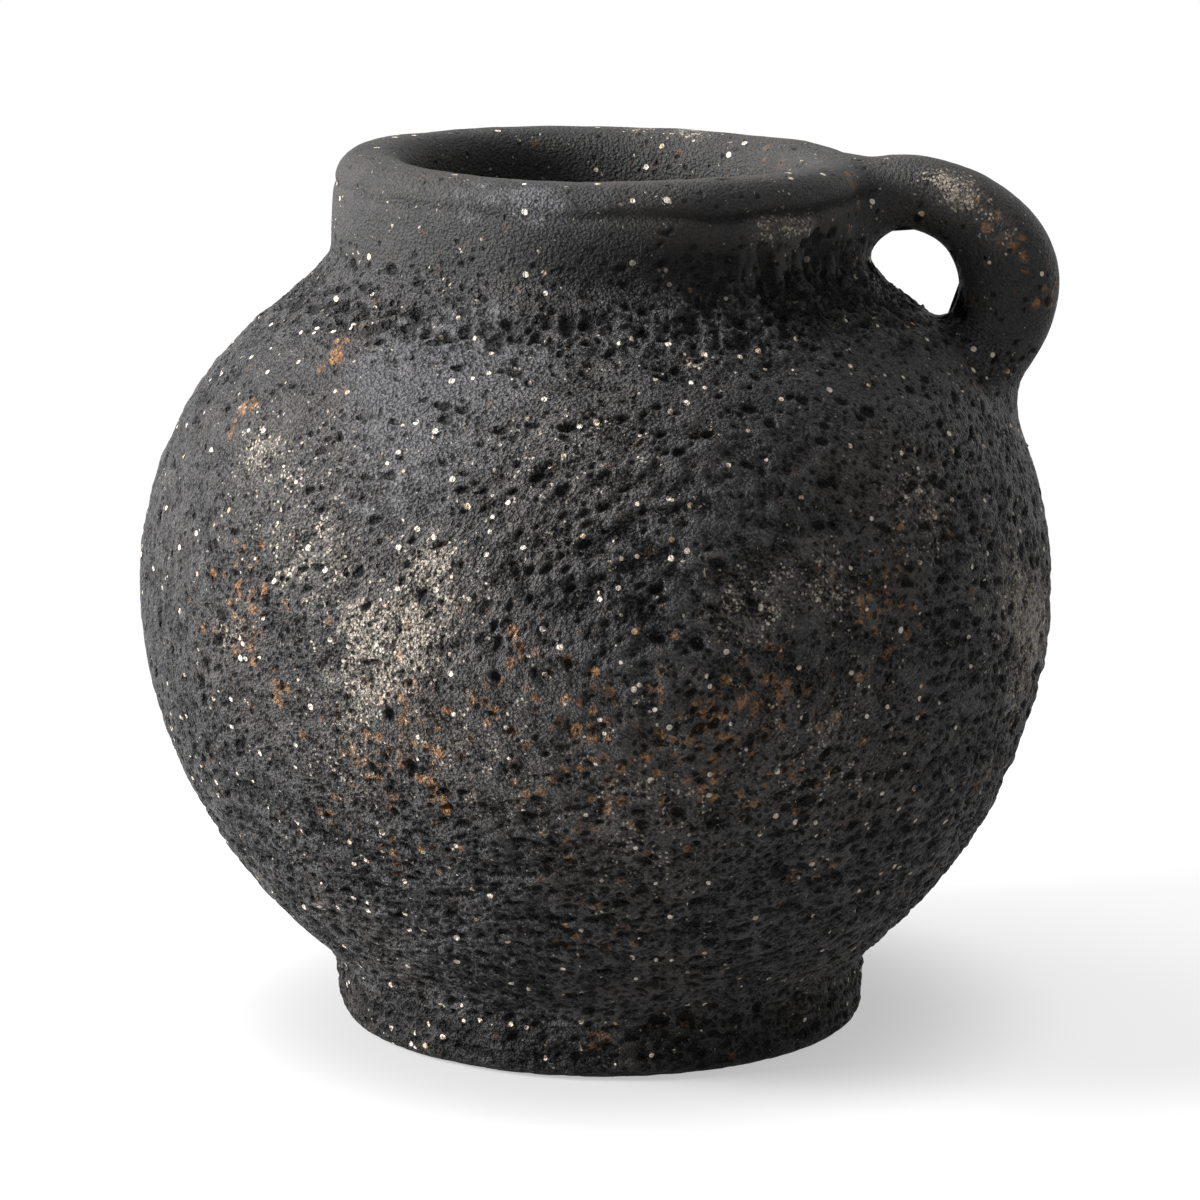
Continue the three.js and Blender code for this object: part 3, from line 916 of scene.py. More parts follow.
def stitched(start: int, count: int, next_start: int, next_count: int) -> tuple[Array, Array]:
    """Triangles between two rings whose point counts are equal or a whole multiple of each other. A ring of
    one point is a pole.

    Args:
        start: first vertex of the lower ring.
        count: its points.
        next_start: first vertex of the upper ring.
        next_count: its points.

    Returns:
        Corner vertices and the corners' shares of the way round, triangles by three.
    """
    coarse = min(count, next_count)
    ratio = max(count, next_count) // coarse
    middle = ratio // 2
    fine_is_lower = count >= next_count
    j = np.arange(coarse)[:, None]
    i = np.arange(ratio)[None, :]
    fine_first = (j * ratio + i).ravel()
    coarse_corner = (j + (i >= middle) * (coarse > 1)).ravel()
    fans = [fine_first, fine_first + 1, coarse_corner]
    keys = [0, 0, 1]
    triangles = [np.stack(fans, 1)]
    kinds = [np.tile(keys, (len(fine_first), 1))]
    if coarse > 1:
        between = np.arange(coarse)
        triangles.append(np.stack([between * ratio + middle, between + 1, between], 1))
        kinds.append(np.tile([0, 1, 1], (coarse, 1)))
    steps = np.vstack(triangles)
    is_coarse = np.vstack(kinds).astype(bool)
    fine_count = coarse * ratio
    share = np.where(is_coarse, steps / coarse, steps / fine_count)
    if coarse == 1:
        share[:, 2] = (steps[:, 0] + 0.5) / fine_count
    fine_start, coarse_start = (start, next_start) if fine_is_lower else (next_start, start)
    corners = np.where(is_coarse, coarse_start + steps % coarse, fine_start + steps % fine_count)
    if not fine_is_lower:
        corners, share = corners[:, ::-1], share[:, ::-1]
    return corners, share


STAIN_NAMES = ("pit", "crust", "rust", "sheen", "ridge", "coarse")


class MeshMaker:
    """Turns stacks of rings into closed meshes with smooth normals, stains and a folded UV map."""

    def __init__(self, stray: HandStray, rim_top: float) -> None:
        """Keeps the stray, which every piece shares."""
        self.stray = stray
        self.rim_top = rim_top

    def strayed(self, points: Array) -> Array:
        """Points moved by the hand-built stray."""
        return self.stray.applied(points, self.rim_top)

    def grid_normals(self, grid: Array) -> Array:
        """Normals of a grid that closes on itself across its columns: across x along."""
        across = np.roll(grid, -1, axis=1) - np.roll(grid, 1, axis=1)
        return unit(np.cross(across, np.gradient(grid, axis=0)))

    def made(self, name: str, rings: Rings, closed: bool = True, strips: int = 4) -> bpy.types.Object:
        """A closed mesh from a stack of rings.

        Args:
            name: the piece's name.
            rings: its rings in order; the first and last are poles unless it closes on itself.
            closed: whether the last ring joins the first.
            strips: how many rows the UV map folds the way round into.

        Returns:
            The object, at the origin, in metres.
        """
        counts = [len(p) for p in rings.points]
        starts = np.concatenate([[0], np.cumsum(counts)])
        firsts = np.array([ring[0] for ring in rings.points])
        up = arc_lengths(np.vstack([firsts, firsts[:1]]) if closed else firsts)
        up = up / up[-1]
        corners, shares, rows = [], [], []
        pairs = len(counts) if closed else len(counts) - 1
        for i in range(pairs):
            k = (i + 1) % len(counts)
            if counts[i] == 1 and counts[k] == 1:
                continue
            faces, share = stitched(starts[i], counts[i], starts[k], counts[k])
            corners.append(faces)
            shares.append(share)
            lower = (faces >= starts[i]) & (faces < starts[i] + counts[i])
            rows.append(np.where(lower, up[i], up[i + 1] if i + 1 < len(up) else 1.0))
        triangles = np.vstack(corners)
        share = np.vstack(shares)
        row = np.vstack(rows)
        points = np.vstack(rings.points)
        mesh = bpy.data.meshes.new(name)
        mesh.vertices.add(len(points))
        mesh.vertices.foreach_set("co", (points * MM).astype(np.float32).ravel())
        mesh.loops.add(triangles.size)
        mesh.loops.foreach_set("vertex_index", triangles.astype(np.int32).ravel())
        mesh.polygons.add(len(triangles))
        mesh.polygons.foreach_set("loop_start", np.arange(0, triangles.size, 3, dtype=np.int32))
        mesh.update()
        mesh.validate()
        self.folded_map(mesh, share, row, strips)
        for stain in STAIN_NAMES:
            values = [s.get(stain, np.zeros(len(p))) for s, p in zip(rings.stains, rings.points)]
            layer = mesh.attributes.new(stain, "FLOAT", "POINT")
            layer.data.foreach_set("value", np.concatenate(values).astype(np.float32))
        strokes = [s.get("stroke", np.zeros_like(p)) for s, p in zip(rings.stains, rings.points)]
        layer = mesh.attributes.new("stroke", "FLOAT_VECTOR", "POINT")
        layer.data.foreach_set("vector", np.vstack(strokes).astype(np.float32).ravel())
        mesh.shade_smooth()
        mesh.normals_split_custom_set_from_vertices(np.vstack(rings.normals).astype(np.float32))
        piece = bpy.data.objects.new(name, mesh)
        bpy.context.scene.collection.objects.link(piece)
        log.info("%s: %d triangles", name, len(triangles))
        return piece

    def folded_map(self, mesh: bpy.types.Mesh, share: Array, row: Array, strips: int) -> None:
        """Lays the way round out in strips, one over the other, so that a long band fills a square map."""
        strip = np.minimum(np.floor(share.mean(1) * strips), strips - 1)[:, None]
        u = 0.01 + 0.98 * (share * strips - strip)
        v = (strip + 0.02 + 0.96 * row) / strips
        layer = mesh.uv_layers.new(name="OFBake")
        layer.uv.foreach_set("vector", np.stack([u, v], -1).astype(np.float32).ravel())


# Finishes


class Wire:
    """A shader socket that takes part in Python sums: each sum adds its Math node."""

    def __init__(self, graph: "Graph", socket: bpy.types.NodeSocket) -> None:
        """Wraps one output socket of a graph."""
        self.graph = graph
        self.socket = socket

    def __add__(self, other: "Wire | float") -> "Wire":
        """This plus another."""
        return self.graph.math("ADD", self, other)

    __radd__ = __add__

    def __sub__(self, other: "Wire | float") -> "Wire":
        """This less another."""
        return self.graph.math("SUBTRACT", self, other)

    def __rsub__(self, other: float) -> "Wire":
        """A number less this."""
        return self.graph.math("SUBTRACT", other, self)

    def __mul__(self, other: "Wire | float") -> "Wire":
        """This times another."""
        return self.graph.math("MULTIPLY", self, other)

    __rmul__ = __mul__

    def stepped(self, low: float, high: float) -> "Wire":
        """A smooth step from 0 at low to 1 at high."""
        return self.graph.node(
            "ShaderNodeMapRange",
            {"interpolation_type": "SMOOTHSTEP"},
            {"Value": self, "From Min": low, "From Max": high},
        )


Colour = Triple


class Graph:
    """The node tree of a material or the world, written as Python expressions."""

    MIX_FIRST = 6
    MIX_SECOND = 7
    MIX_RESULT = 2

    def __init__(self, owner: bpy.types.Material | bpy.types.World) -> None:
        """Empties its owner's node tree."""
        owner.use_nodes = True
        self.owner = owner
        self.tree = owner.node_tree
        self.tree.nodes.clear()

    def node(self, kind: str, settings: dict, sockets: dict, output: int | str = 0) -> Wire:
        """Adds a node: its settings first, then its sockets' values or links.

        Args:
            kind: the node's type.
            settings: the node's properties by name.
            sockets: values or wires by socket name or number.
            output: which output to hand back.

        Returns:
            That output as a wire.
        """
        made = self.tree.nodes.new(kind)
        for key, value in settings.items():
            setattr(made, key, value)
        for key, value in sockets.items():
            target = made.inputs[key]
            if isinstance(value, Wire):
                self.tree.links.new(value.socket, target)
            else:
                target.default_value = value
        return Wire(self, made.outputs[output] if made.outputs else None)

    def math(self, operation: str, first: Wire | float, second: Wire | float) -> Wire:
        """A sum of two numbers."""
        return self.node("ShaderNodeMath", {"operation": operation}, {0: first, 1: second})

    def mixed(self, factor: Wire | float, first: Wire | Colour, second: Wire | Colour) -> Wire:
        """A colour between two, by a factor from 0 to 1."""
        ends = [c if isinstance(c, Wire) else (*c, 1.0) for c in (first, second)]
        sockets = {0: factor, self.MIX_FIRST: ends[0], self.MIX_SECOND: ends[1]}
        return self.node("ShaderNodeMix", {"data_type": "RGBA"}, sockets, self.MIX_RESULT)

    def place(self) -> Wire:
        """The place on the piece in mm."""
        here = self.node("ShaderNodeTexCoord", {}, {}, "Object")
        per_metre = (1.0 / MM, 1.0 / MM, 1.0 / MM)
        return self.node("ShaderNodeVectorMath", {"operation": "MULTIPLY"}, {0: here, 1: per_metre})

    def noise(self, place: Wire, size: float, detail: float = 2.0, rough: float = 0.5) -> Wire:
        """Noise from 0 to 1 whose lumps are about size mm across."""
        sockets = {"Vector": place, "Scale": 1.0 / size, "Detail": detail, "Roughness": rough}
        return self.node("ShaderNodeTexNoise", {}, sockets)

    def cells(self, place: Wire, size: float, output: str) -> Wire:
        """Cell noise: the distance to the nearest cell's middle, or a random colour for each cell."""
        return self.node("ShaderNodeTexVoronoi", {}, {"Vector": place, "Scale": 1.0 / size}, output)

    def bent(self, place: Wire, size: float, reach: float) -> Wire:
        """A place moved by noise, by a share of the reach in mm each way."""
        drift = self.node(
            "ShaderNodeTexNoise", {}, {"Vector": place, "Scale": 1.0 / size, "Detail": 1.0}, "Color"
        )
        centred = self.node("ShaderNodeVectorMath", {"operation": "SUBTRACT"}, {0: drift, 1: (0.5, 0.5, 0.5)})
        return self.shifted(place, centred, reach)

    def cell_chance(self, place: Wire, size: float) -> Wire:
        """A random number from 0 to 1 for each cell."""
        return self.node("ShaderNodeSeparateColor", {}, {0: self.cells(place, size, "Color")}, 0)

    def stain(self, name: str) -> Wire:
        """A stain that the mesh carries."""
        return self.node("ShaderNodeAttribute", {"attribute_name": name}, {}, "Fac")

    def shifted(self, place: Wire, direction: Wire, length: float) -> Wire:
        """A place moved along a direction by a length in mm."""
        return self.node("ShaderNodeVectorMath", {"operation": "MULTIPLY_ADD"},
                         {0: direction, 1: (length, length, length), 2: place})

    def drawn_out(self, place: Wire, size: float, reach: float) -> Wire:
        """Noise drawn out along the mesh's strokes: the average of three places along them."""
        stroke = self.node("ShaderNodeAttribute", {"attribute_name": "stroke"}, {}, "Vector")
        total = 0.0
        for shift in (-reach, 0.0, reach):
            total = total + self.noise(self.shifted(place, stroke, shift), size, 1.0, 0.5) * (1.0 / 3.0)
        return total

    def finished(self, shader: Wire) -> bpy.types.Material | bpy.types.World:
        """Ends the tree with a shader and hands its owner back."""
        kind = "World" if isinstance(self.owner, bpy.types.World) else "Material"
        self.node(f"ShaderNodeOutput{kind}", {}, {"Surface": shader})
        return self.owner


class Finish(Enum):
    """The frame's material slots, which the materials are named for."""

    BLACK = "black_clay"
    BURNISHED = "burnished_clay"
    RAW = "raw_base"


@dataclass(frozen=True)
class FiredClay:
    """Black-fired coarse clay: charcoal with pale and rust grains, pits darkened by painted shade, burnished
    patches lightened by painted highlight, and a sandy grain, sizes in mm.
    """

    finish: Finish
    dark: Colour = (0.003, 0.0029, 0.0032)
    light: Colour = (0.098, 0.095, 0.095)
    brown: Colour = (0.06, 0.045, 0.034)
    cream: Colour = (0.68, 0.61, 0.52)
    crusted: Colour = (0.44, 0.385, 0.32)
    tan: Colour = (0.5, 0.36, 0.23)
    rust: Colour = (0.31, 0.155, 0.065)
    # Near black for painted shade in pits, pinholes, tears, creases and under the lip.
    painted_hollow_shade: Colour = (0.003, 0.0028, 0.003)
    sparkle: float = 0.5
    grit: float = 0.55
    roughness: float = 0.52
    brownness: float = 0.3
    relief: float = 0.34
    # Pale grey of burnished patches and of painted highlight.
    polished_and_highlight_grey: Colour = (0.1, 0.099, 0.105)
    pebble_size: float = 0.38
    pinhole_size: float = 1.05
    speck_size: float = 2.3
    dot_size: float = 0.46
    burnt_size: float = 1.7
    shine: float = 0.08
    coat: float = 0.12
    coat_roughness: float = 0.5

    def material(self) -> bpy.types.Material:
        """Builds the clay's material."""
        graph = Graph(bpy.data.materials.new(self.finish.value))
        place = graph.place()
        pit, crust, rust, sheen, ridge, coarse = (graph.stain(name) for name in STAIN_NAMES)
        broad = graph.noise(place, 17.0, 2.0)
        clump = graph.noise(place, 1.5, 2.0, 0.55)
        bent = graph.bent(place, 0.45, 0.4)
        pebble = graph.cells(bent, self.pebble_size, "Distance").stepped(0.72, 0.3)
        grain = 0.5 * pebble + 0.5 * graph.drawn_out(place, 0.4, 0.12).stepped(0.4, 0.6)

        hole = graph.cells(bent, self.pinhole_size, "Distance").stepped(0.42, 0.22)
        hole = hole * (graph.cell_chance(bent, self.pinhole_size) + coarse).stepped(0.98, 1.02)
        tone = graph.cell_chance(place, self.speck_size)
        speck = (graph.cells(place, self.speck_size, "Distance") + 0.16 * tone).stepped(0.22, 0.19)
        speck = speck * tone.stepped(self.sparkle + 0.02, self.sparkle)
        tint = graph.noise(place, 4.0, 1.0).stepped(0.66, 0.54)
        dots = graph.cells(bent, self.dot_size, "Distance").stepped(0.58, 0.42)
        pale = graph.cell_chance(bent, self.dot_size) + 0.95 * crust + 1.3 * (clump - 0.5)
        dots = dots * pale.stepped(1.08, 1.12)
        burnt = graph.cells(bent, self.burnt_size, "Distance").stepped(0.6, 0.3)
        burnt = burnt * (graph.cell_chance(bent, self.burnt_size) + 0.95 * rust).stepped(0.95, 1.1)
        burnt = burnt * (0.35 + 0.65 * clump.stepped(0.42, 0.58))
        # Burnish and painted highlight: smoother, coated, with more grain bump, and lighter in colour as
        # painted highlight.
        burnished = (sheen + 0.9 * (clump - 0.5)).stepped(0.3, 0.85)

        # Raised crumbs lighter and the hollows between them darker in colour: painted shade in the hollows.
        level = 0.42 + self.grit * (grain - 0.5) + 0.5 * (ridge - 0.5) + 0.4 * (broad - 0.5)
        colour = graph.mixed(level, self.dark, self.light)
        colour = graph.mixed(broad.stepped(0.5, 0.68) * self.brownness * grain, colour, self.brown)
        # Painted highlight: burnished patches lightened towards a pale grey.
        colour = graph.mixed(burnished * (0.1 + 0.9 * grain), colour, self.polished_and_highlight_grey)
        colour = graph.mixed(burnt * (0.35 + 0.5 * grain), colour, self.rust)
        colour = graph.mixed(crust * 0.45 * grain, colour, self.crusted)
        colour = graph.mixed(dots * 0.75, colour, self.crusted)
        colour = graph.mixed(speck, colour, graph.mixed(tint, self.tan, self.cream))
        # Painted shade: pits, pinholes, tears, creases and the collar under the lip turn near black.
        sunk = graph.math("MAXIMUM", pit.stepped(0.1, 0.7) * 0.8, hole * 0.85)
        colour = graph.mixed(sunk, colour, self.painted_hollow_shade)

        rough = self.roughness - 0.15 * burnished + 0.2 * dots + 0.1 * (clump - 0.5)
        height = grain * (1.0 + 0.4 * burnished) - 1.3 * hole + 1.0 * speck + 0.5 * dots
        normal = graph.node(
            "ShaderNodeBump", {}, {"Strength": 1.0, "Distance": self.relief * MM, "Height": height}
        )
        shader = graph.node(
            "ShaderNodeBsdfPrincipled",
            {},
            {
                "Base Color": colour,
                "Roughness": rough,
                "Normal": normal,
                "Specular IOR Level": self.shine,
                "Coat Weight": burnished * self.coat,
                "Coat Roughness": self.coat_roughness,
            },
        )
        return graph.finished(shader)


# The pieces


@dataclass(frozen=True)
class Run:
    """A stretch of the section that shows, from one length to another, with its rings' step and columns."""

    start: float
    end: float
    step: float
    columns: int
    first_columns: int = 0
    last_columns: int = 0
    fine: float = 1.0


@dataclass(frozen=True)
class Bed:
    """A ring hidden inside the clay."""

    radius: float
    height: float
    columns: int


class Vessel:
    """The turned pieces: base, foot, body, neck and lip, each a closed ring or bowl of clay."""

    BODY_COLUMNS = 1280
    TRIM_COLUMNS = 640
    INSIDE_COLUMNS = 320
    BODY_STEP = 0.31
    TRIM_STEP = 0.33
    INSIDE_STEP = 1.1
    RECESS_STEP = 0.9
    MOUTH_STEP = 0.45
    POLE_GAP = 1.2
    RECESS_MARGIN = 0.5
    FLOOR_EDGE_RADIUS = 34.0
    INSIDE_FINE = 0.7
    FLOOR_FINE = 0.6
    INNER_WALL = (50.0, 40.0)
    FOOT_CUT = (37.0, 7.9)
    UNDERSIDE_CUT = (39.9, 12.6)
    NECK_CUT = (41.0, 101.3)
    COLLAR_CUT = (36.6, 107.2)
    LIP_CUT = (36.5, 109.6)
    LIP_INSIDE = (26.2, 109.6)
    MOUTH_INSIDE = (26.6, 101.2)
    BANDS = (
        "lower_body_low", "lower_body_middle", "lower_body_high",
        "upper_body_low", "upper_body_middle", "upper_body_high",
    )

    def __init__(self, meridian: Meridian, skin: ClaySkin, maker: MeshMaker) -> None:
        """Keeps what the pieces are made from."""
        self.meridian = meridian
        self.skin = skin
        self.maker = maker

    def laid(self, rings: Rings, run: Run) -> None:
        """Adds a run's rings: the smooth form, raised by the skin's relief, then strayed. One more ring at
        each end gives the end rings their normals."""
        count = max(2, int(math.ceil((run.end - run.start) / run.step)) + 1)
        arcs = np.linspace(run.start, run.end, count)
        step = arcs[1] - arcs[0]
        wide = np.concatenate([[arcs[0] - step], arcs, [arcs[-1] + step]])
        wide = np.clip(wide, 0.0, self.meridian.length)
        points, normals = self.meridian.swept(wide, run.columns)
        height, stains = self.skin.relief(points, normals, run.fine)
        points = self.maker.strayed(points + normals * height[..., None])
        normals = self.maker.grid_normals(points)
        for i in range(count):
            every = 1
            if i == 0 and run.first_columns:
                every = run.columns // run.first_columns
            if i == count - 1 and run.last_columns:
                every = run.columns // run.last_columns
            row = {key: value[i + 1, ::every] for key, value in stains.items()}
            rings.add(points[i + 1, ::every], normals[i + 1, ::every], row)

    def bedded(self, rings: Rings, bed: Bed) -> None:
        """Adds a hidden ring."""
        turn = np.arange(bed.columns) * TURN / bed.columns
        height = np.full(bed.columns, bed.height)
        flat = np.stack([bed.radius * np.cos(turn), bed.radius * np.sin(turn), height], 1)
        rings.add_hidden(self.maker.strayed(flat))

    def pole(self, rings: Rings, height: float) -> None:
        """Adds a point on the axis."""
        rings.add_hidden(self.maker.strayed(np.array([[0.0, 0.0, height]])))

    def piece(self, name: str, parts: list[Run | Bed], strips: int) -> bpy.types.Object:
        """A closed ring of clay from its runs and beds in order."""
        rings = Rings()
        for part in parts:
            if isinstance(part, Run):
                self.laid(rings, part)
            else:
                self.bedded(rings, part)
        return self.maker.made(name, rings, closed=True, strips=strips)

    def base_disc(self) -> bpy.types.Object:
        """The slab that closes the bottom: recess below, floor above."""
        m, s = self.meridian, self.meridian.sizes
        rings = Rings()
        self.pole(rings, s.foot_recess)
        edge = m.arc_near(s.foot_inner_radius - self.RECESS_MARGIN, s.foot_recess)
        columns = self.INSIDE_COLUMNS
        self.laid(rings, Run(self.POLE_GAP, edge, self.RECESS_STEP, columns, fine=self.INSIDE_FINE))
        self.bedded(rings, Bed(33.0, 9.0, columns))
        inside = m.arc_near(*self.inside_at(self.FLOOR_EDGE_RADIUS))
        last = m.length - self.POLE_GAP
        self.laid(rings, Run(inside, last, self.INSIDE_STEP, columns, fine=self.FLOOR_FINE))
        self.pole(rings, s.floor_height)
        return self.maker.made("base_disc", rings, closed=False, strips=2)

    def inside_at(self, radius: float) -> tuple[float, float]:
        """A place on the inside of the bowl at a radius, near the floor."""
        line = self.meridian.line
        below = line[self.meridian.arc > self.meridian.arc_near(*self.INNER_WALL)]
        row = below[np.argmin(np.abs(below[:, 0] - radius))]
        return float(row[0]), float(row[1])

    def made(self) -> dict[str, bpy.types.Object]:
        """All turned pieces by name."""
        m, s = self.meridian, self.meridian.sizes
        foot_cut = m.arc_near(*self.FOOT_CUT)
        underside_cut = m.arc_near(*self.UNDERSIDE_CUT)
        neck_cut = m.arc_near(*self.NECK_CUT)
        collar_cut = m.arc_near(*self.COLLAR_CUT)
        lip_cut = m.arc_near(*self.LIP_CUT)
        lip_inside = m.arc_near(*self.LIP_INSIDE)
        mouth_inside = m.arc_near(*self.MOUTH_INSIDE)
        recess = m.arc_near(s.foot_inner_radius - self.RECESS_MARGIN, s.foot_recess)
        pieces = {"base_disc": self.base_disc()}
        trim, body, inner = self.TRIM_COLUMNS, self.BODY_COLUMNS, self.INSIDE_COLUMNS
        pieces["foot_ring"] = self.piece("foot_ring", [
            Run(recess, foot_cut, self.TRIM_STEP, trim),
            Bed(34.0, 9.0, inner),
        ], 4)
        pieces["foot_seam_clay"] = self.piece("foot_seam_clay", [
            Run(foot_cut, underside_cut, self.TRIM_STEP, trim),
            Bed(37.5, 13.5, inner),
            Bed(34.5, 9.5, inner),
        ], 6)
        belly = m.arc_near(s.belly_radius, s.belly_height)
        outer = [*np.linspace(underside_cut, belly, 4), *np.linspace(belly, neck_cut, 4)[1:]]
        floor_edge = m.arc_near(*self.inside_at(self.FLOOR_EDGE_RADIUS))
        belly_inside = m.arc_near(s.belly_radius - s.wall, s.belly_height)
        inside = [*np.linspace(floor_edge, belly_inside, 4), *np.linspace(belly_inside, mouth_inside, 4)[1:]]
        last = len(self.BANDS) - 1
        for i, name in enumerate(self.BANDS):
            pieces[name] = self.piece(name, [
                Run(
                    outer[i], outer[i + 1], self.BODY_STEP, body,
                    first_columns=trim if i == 0 else 0, last_columns=trim if i == last else 0,
                ),
                Run(inside[i + 1], inside[i], self.INSIDE_STEP, inner, fine=self.INSIDE_FINE),
            ], 4)
        pieces["neck_seam_clay"] = self.piece("neck_seam_clay", [
            Run(neck_cut, collar_cut, self.TRIM_STEP, trim),
            Bed(34.6, 106.6, inner),
            Bed(36.0, 99.5, inner),
        ], 6)
        pieces["neck_collar"] = self.piece("neck_collar", [
            Run(collar_cut, lip_cut, self.TRIM_STEP, trim),
            Run(lip_inside, mouth_inside, self.MOUTH_STEP, trim),
            Bed(34.0, 102.5, inner),
        ], 6)
        pieces["lip_coil"] = self.piece("lip_coil", [
            Run(lip_cut, lip_inside, self.TRIM_STEP, trim),
        ], 4)
        return pieces


class HandleEnd(Enum):
    """An end of the handle, by its share of the route."""

    LIP = 0.0
    SHOULDER = 1.0


class LoopHandle:
    """The bent roll and the clay worked round its two ends."""

    COLUMNS = 192
    STEP = 0.3
    PAD_COLUMNS = 288
    PAD_ROWS = 40
    MARGIN = 0.7
    SINK = 0.45
    KEEL_SINK = 1.8
    HALFWAY = 0.5
    ROUTE_TRIES = 300
    WALK_ROUNDS = 14
    SMOOTHING_ROUNDS = 3

    def __init__(self, form: JoinedForm, skin: ClaySkin, maker: MeshMaker) -> None:
        """Keeps what the pieces are made from."""
        self.form = form
        self.handle = form.handle
        self.skin = skin
        self.maker = maker

    def finished(self, points: Array, normals: Array, fine: float) -> tuple[Array, Array, dict[str, Array]]:
        """A grid raised by the skin's relief and strayed, with its normals and stains."""
        height, stains = self.skin.relief(points, normals, fine)
        points = self.maker.strayed(points + normals * height[..., None])
        return points, self.maker.grid_normals(points), stains

    def roll(self) -> bpy.types.Object:
        """The roll itself, whose two ends are buried in the vessel."""
        rows = int(self.handle.length / self.STEP)
        along = np.linspace(0.0, 1.0, rows)
        turn = np.arange(self.COLUMNS) * TURN / self.COLUMNS
        base = self.handle.surface(along, turn[None, :])
        points, normals, stains = self.finished(base, self.maker.grid_normals(base), 1.0)
        rings = Rings()
        first, last = (self.maker.strayed(base[i].mean(0)[None]) for i in (0, -1))
        rings.add_hidden(first)
        for i in range(rows):
            rings.add(points[i], normals[i], {key: value[i] for key, value in stains.items()})
        rings.add_hidden(last)
        return self.maker.made("handle_loop", rings, closed=False, strips=2)

    def crossing(self, level: float, end: HandleEnd) -> Array:
        """For each angle round the roll, the share of its route where its skin is a level off the vessel.

        Args:
            level: in units of the corner filling's reach, 0 on the vessel's skin.
            end: the end to look from, up to halfway.

        Returns:
            One share for each column.
        """
        along = np.linspace(end.value, self.HALFWAY, self.ROUTE_TRIES)
        turn = np.arange(self.PAD_COLUMNS) * TURN / self.PAD_COLUMNS
        skin = self.handle.surface(along, turn[None, :])
        buried = self.form.vessel.at(skin) <= level * self.form.reach(skin)
        last = len(along) - 1 - np.argmax(buried[::-1], axis=0)
        return along[np.minimum(last + 1, len(along) - 1)]

    def ring_on_roll(self, share: Array) -> Array:
        """Points of the roll's skin with a share of the route of its own for each column."""
        turn = np.arange(self.PAD_COLUMNS) * TURN / self.PAD_COLUMNS
        every = self.handle.surface(share, turn[None, :])
        return every[np.arange(len(share)), np.arange(len(share))]

    def ring_on_vessel(self, contact: Array) -> Array:
        """From where the roll meets the vessel, out over the vessel's skin to where the filling ends."""
        vessel = self.form.vessel.at
        points = contact
        for _ in range(self.WALK_ROUNDS):
            up = unit(self.form.gradient(points, vessel))
            away = self.form.gradient(points, self.handle.distance)
            away = unit(away - up * (away * up).sum(-1, keepdims=True))
            short = self.form.reach(points) - self.handle.distance(points)
            points = points + away * np.clip(short, -1.0, 1.0)[:, None] - up * vessel(points)[:, None]
        return points

    def pad(self, name: str, end: HandleEnd) -> bpy.types.Object:
        """The clay that fills the corner between roll and vessel, from a ring on one to one on the other.

        Args:
            name: the piece's name.
            end: the end of the handle that it is worked round.

        Returns:
            The piece.
        """
        filling = self.crossing(1.0, end)
        contact = self.ring_on_roll(self.crossing(0.0, end))
        on_roll = self.ring_on_roll(filling)
        on_vessel = self.ring_on_vessel(contact)
        for _ in range(self.SMOOTHING_ROUNDS):
            on_vessel = 0.5 * on_vessel + 0.25 * (np.roll(on_vessel, 1, 0) + np.roll(on_vessel, -1, 0))
        share = np.linspace(0.0, 1.0, self.PAD_ROWS)[:, None, None]
        chord = on_roll[None] * (1.0 - share) + on_vessel[None] * share
        points, normals = self.form.settled(chord)
        if end is HandleEnd.LIP:
            points, normals = points[::-1], normals[::-1]
        points, smooth, stains = self.finished(points, normals, 1.0)
        outward = unit(self.form.gradient(contact, self.form.vessel.at))
        inward = self.maker.strayed(contact) - self.KEEL_SINK * outward
        rings = Rings()
        rings.add_hidden(self.tucked(points, smooth, 0))
        for i in range(self.PAD_ROWS):
            rings.add(points[i], smooth[i], {key: value[i] for key, value in stains.items()})
        rings.add_hidden(self.tucked(points, smooth, -1))
        rings.add_hidden(inward)
        return self.maker.made(name, rings, closed=True, strips=2)

    def tucked(self, points: Array, normals: Array, end: int) -> Array:
        """A ring just past a pad's edge, sunk under its neighbour's skin."""
        inner = 1 if end == 0 else -2
        onward = unit(points[end] - points[inner])
        return points[end] + self.MARGIN * onward - self.SINK * normals[end]


# Camera, light and floor


WHITE = (1.0, 1.0, 1.0)


def turned_to(place: Triple, target: Triple) -> Euler:
    """The turn that points a camera or a lamp at a place from another."""
    return (Vector(target) - Vector(place)).to_track_quat("-Z", "Y").to_euler()


@dataclass(frozen=True)
class Lamp:
    """A square soft lamp that faces the jar: place and size in metres, power in watts."""

    name: str
    place: Triple
    size: float
    power: float


LAMPS = (
    Lamp("key", (-0.9, -0.18, 0.44), 0.36, 29.0),
    Lamp("top", (-0.35, 0.15, 0.8), 0.45, 5.0),
    Lamp("edge", (0.6, 0.62, 0.2), 0.4, 0.9),
)


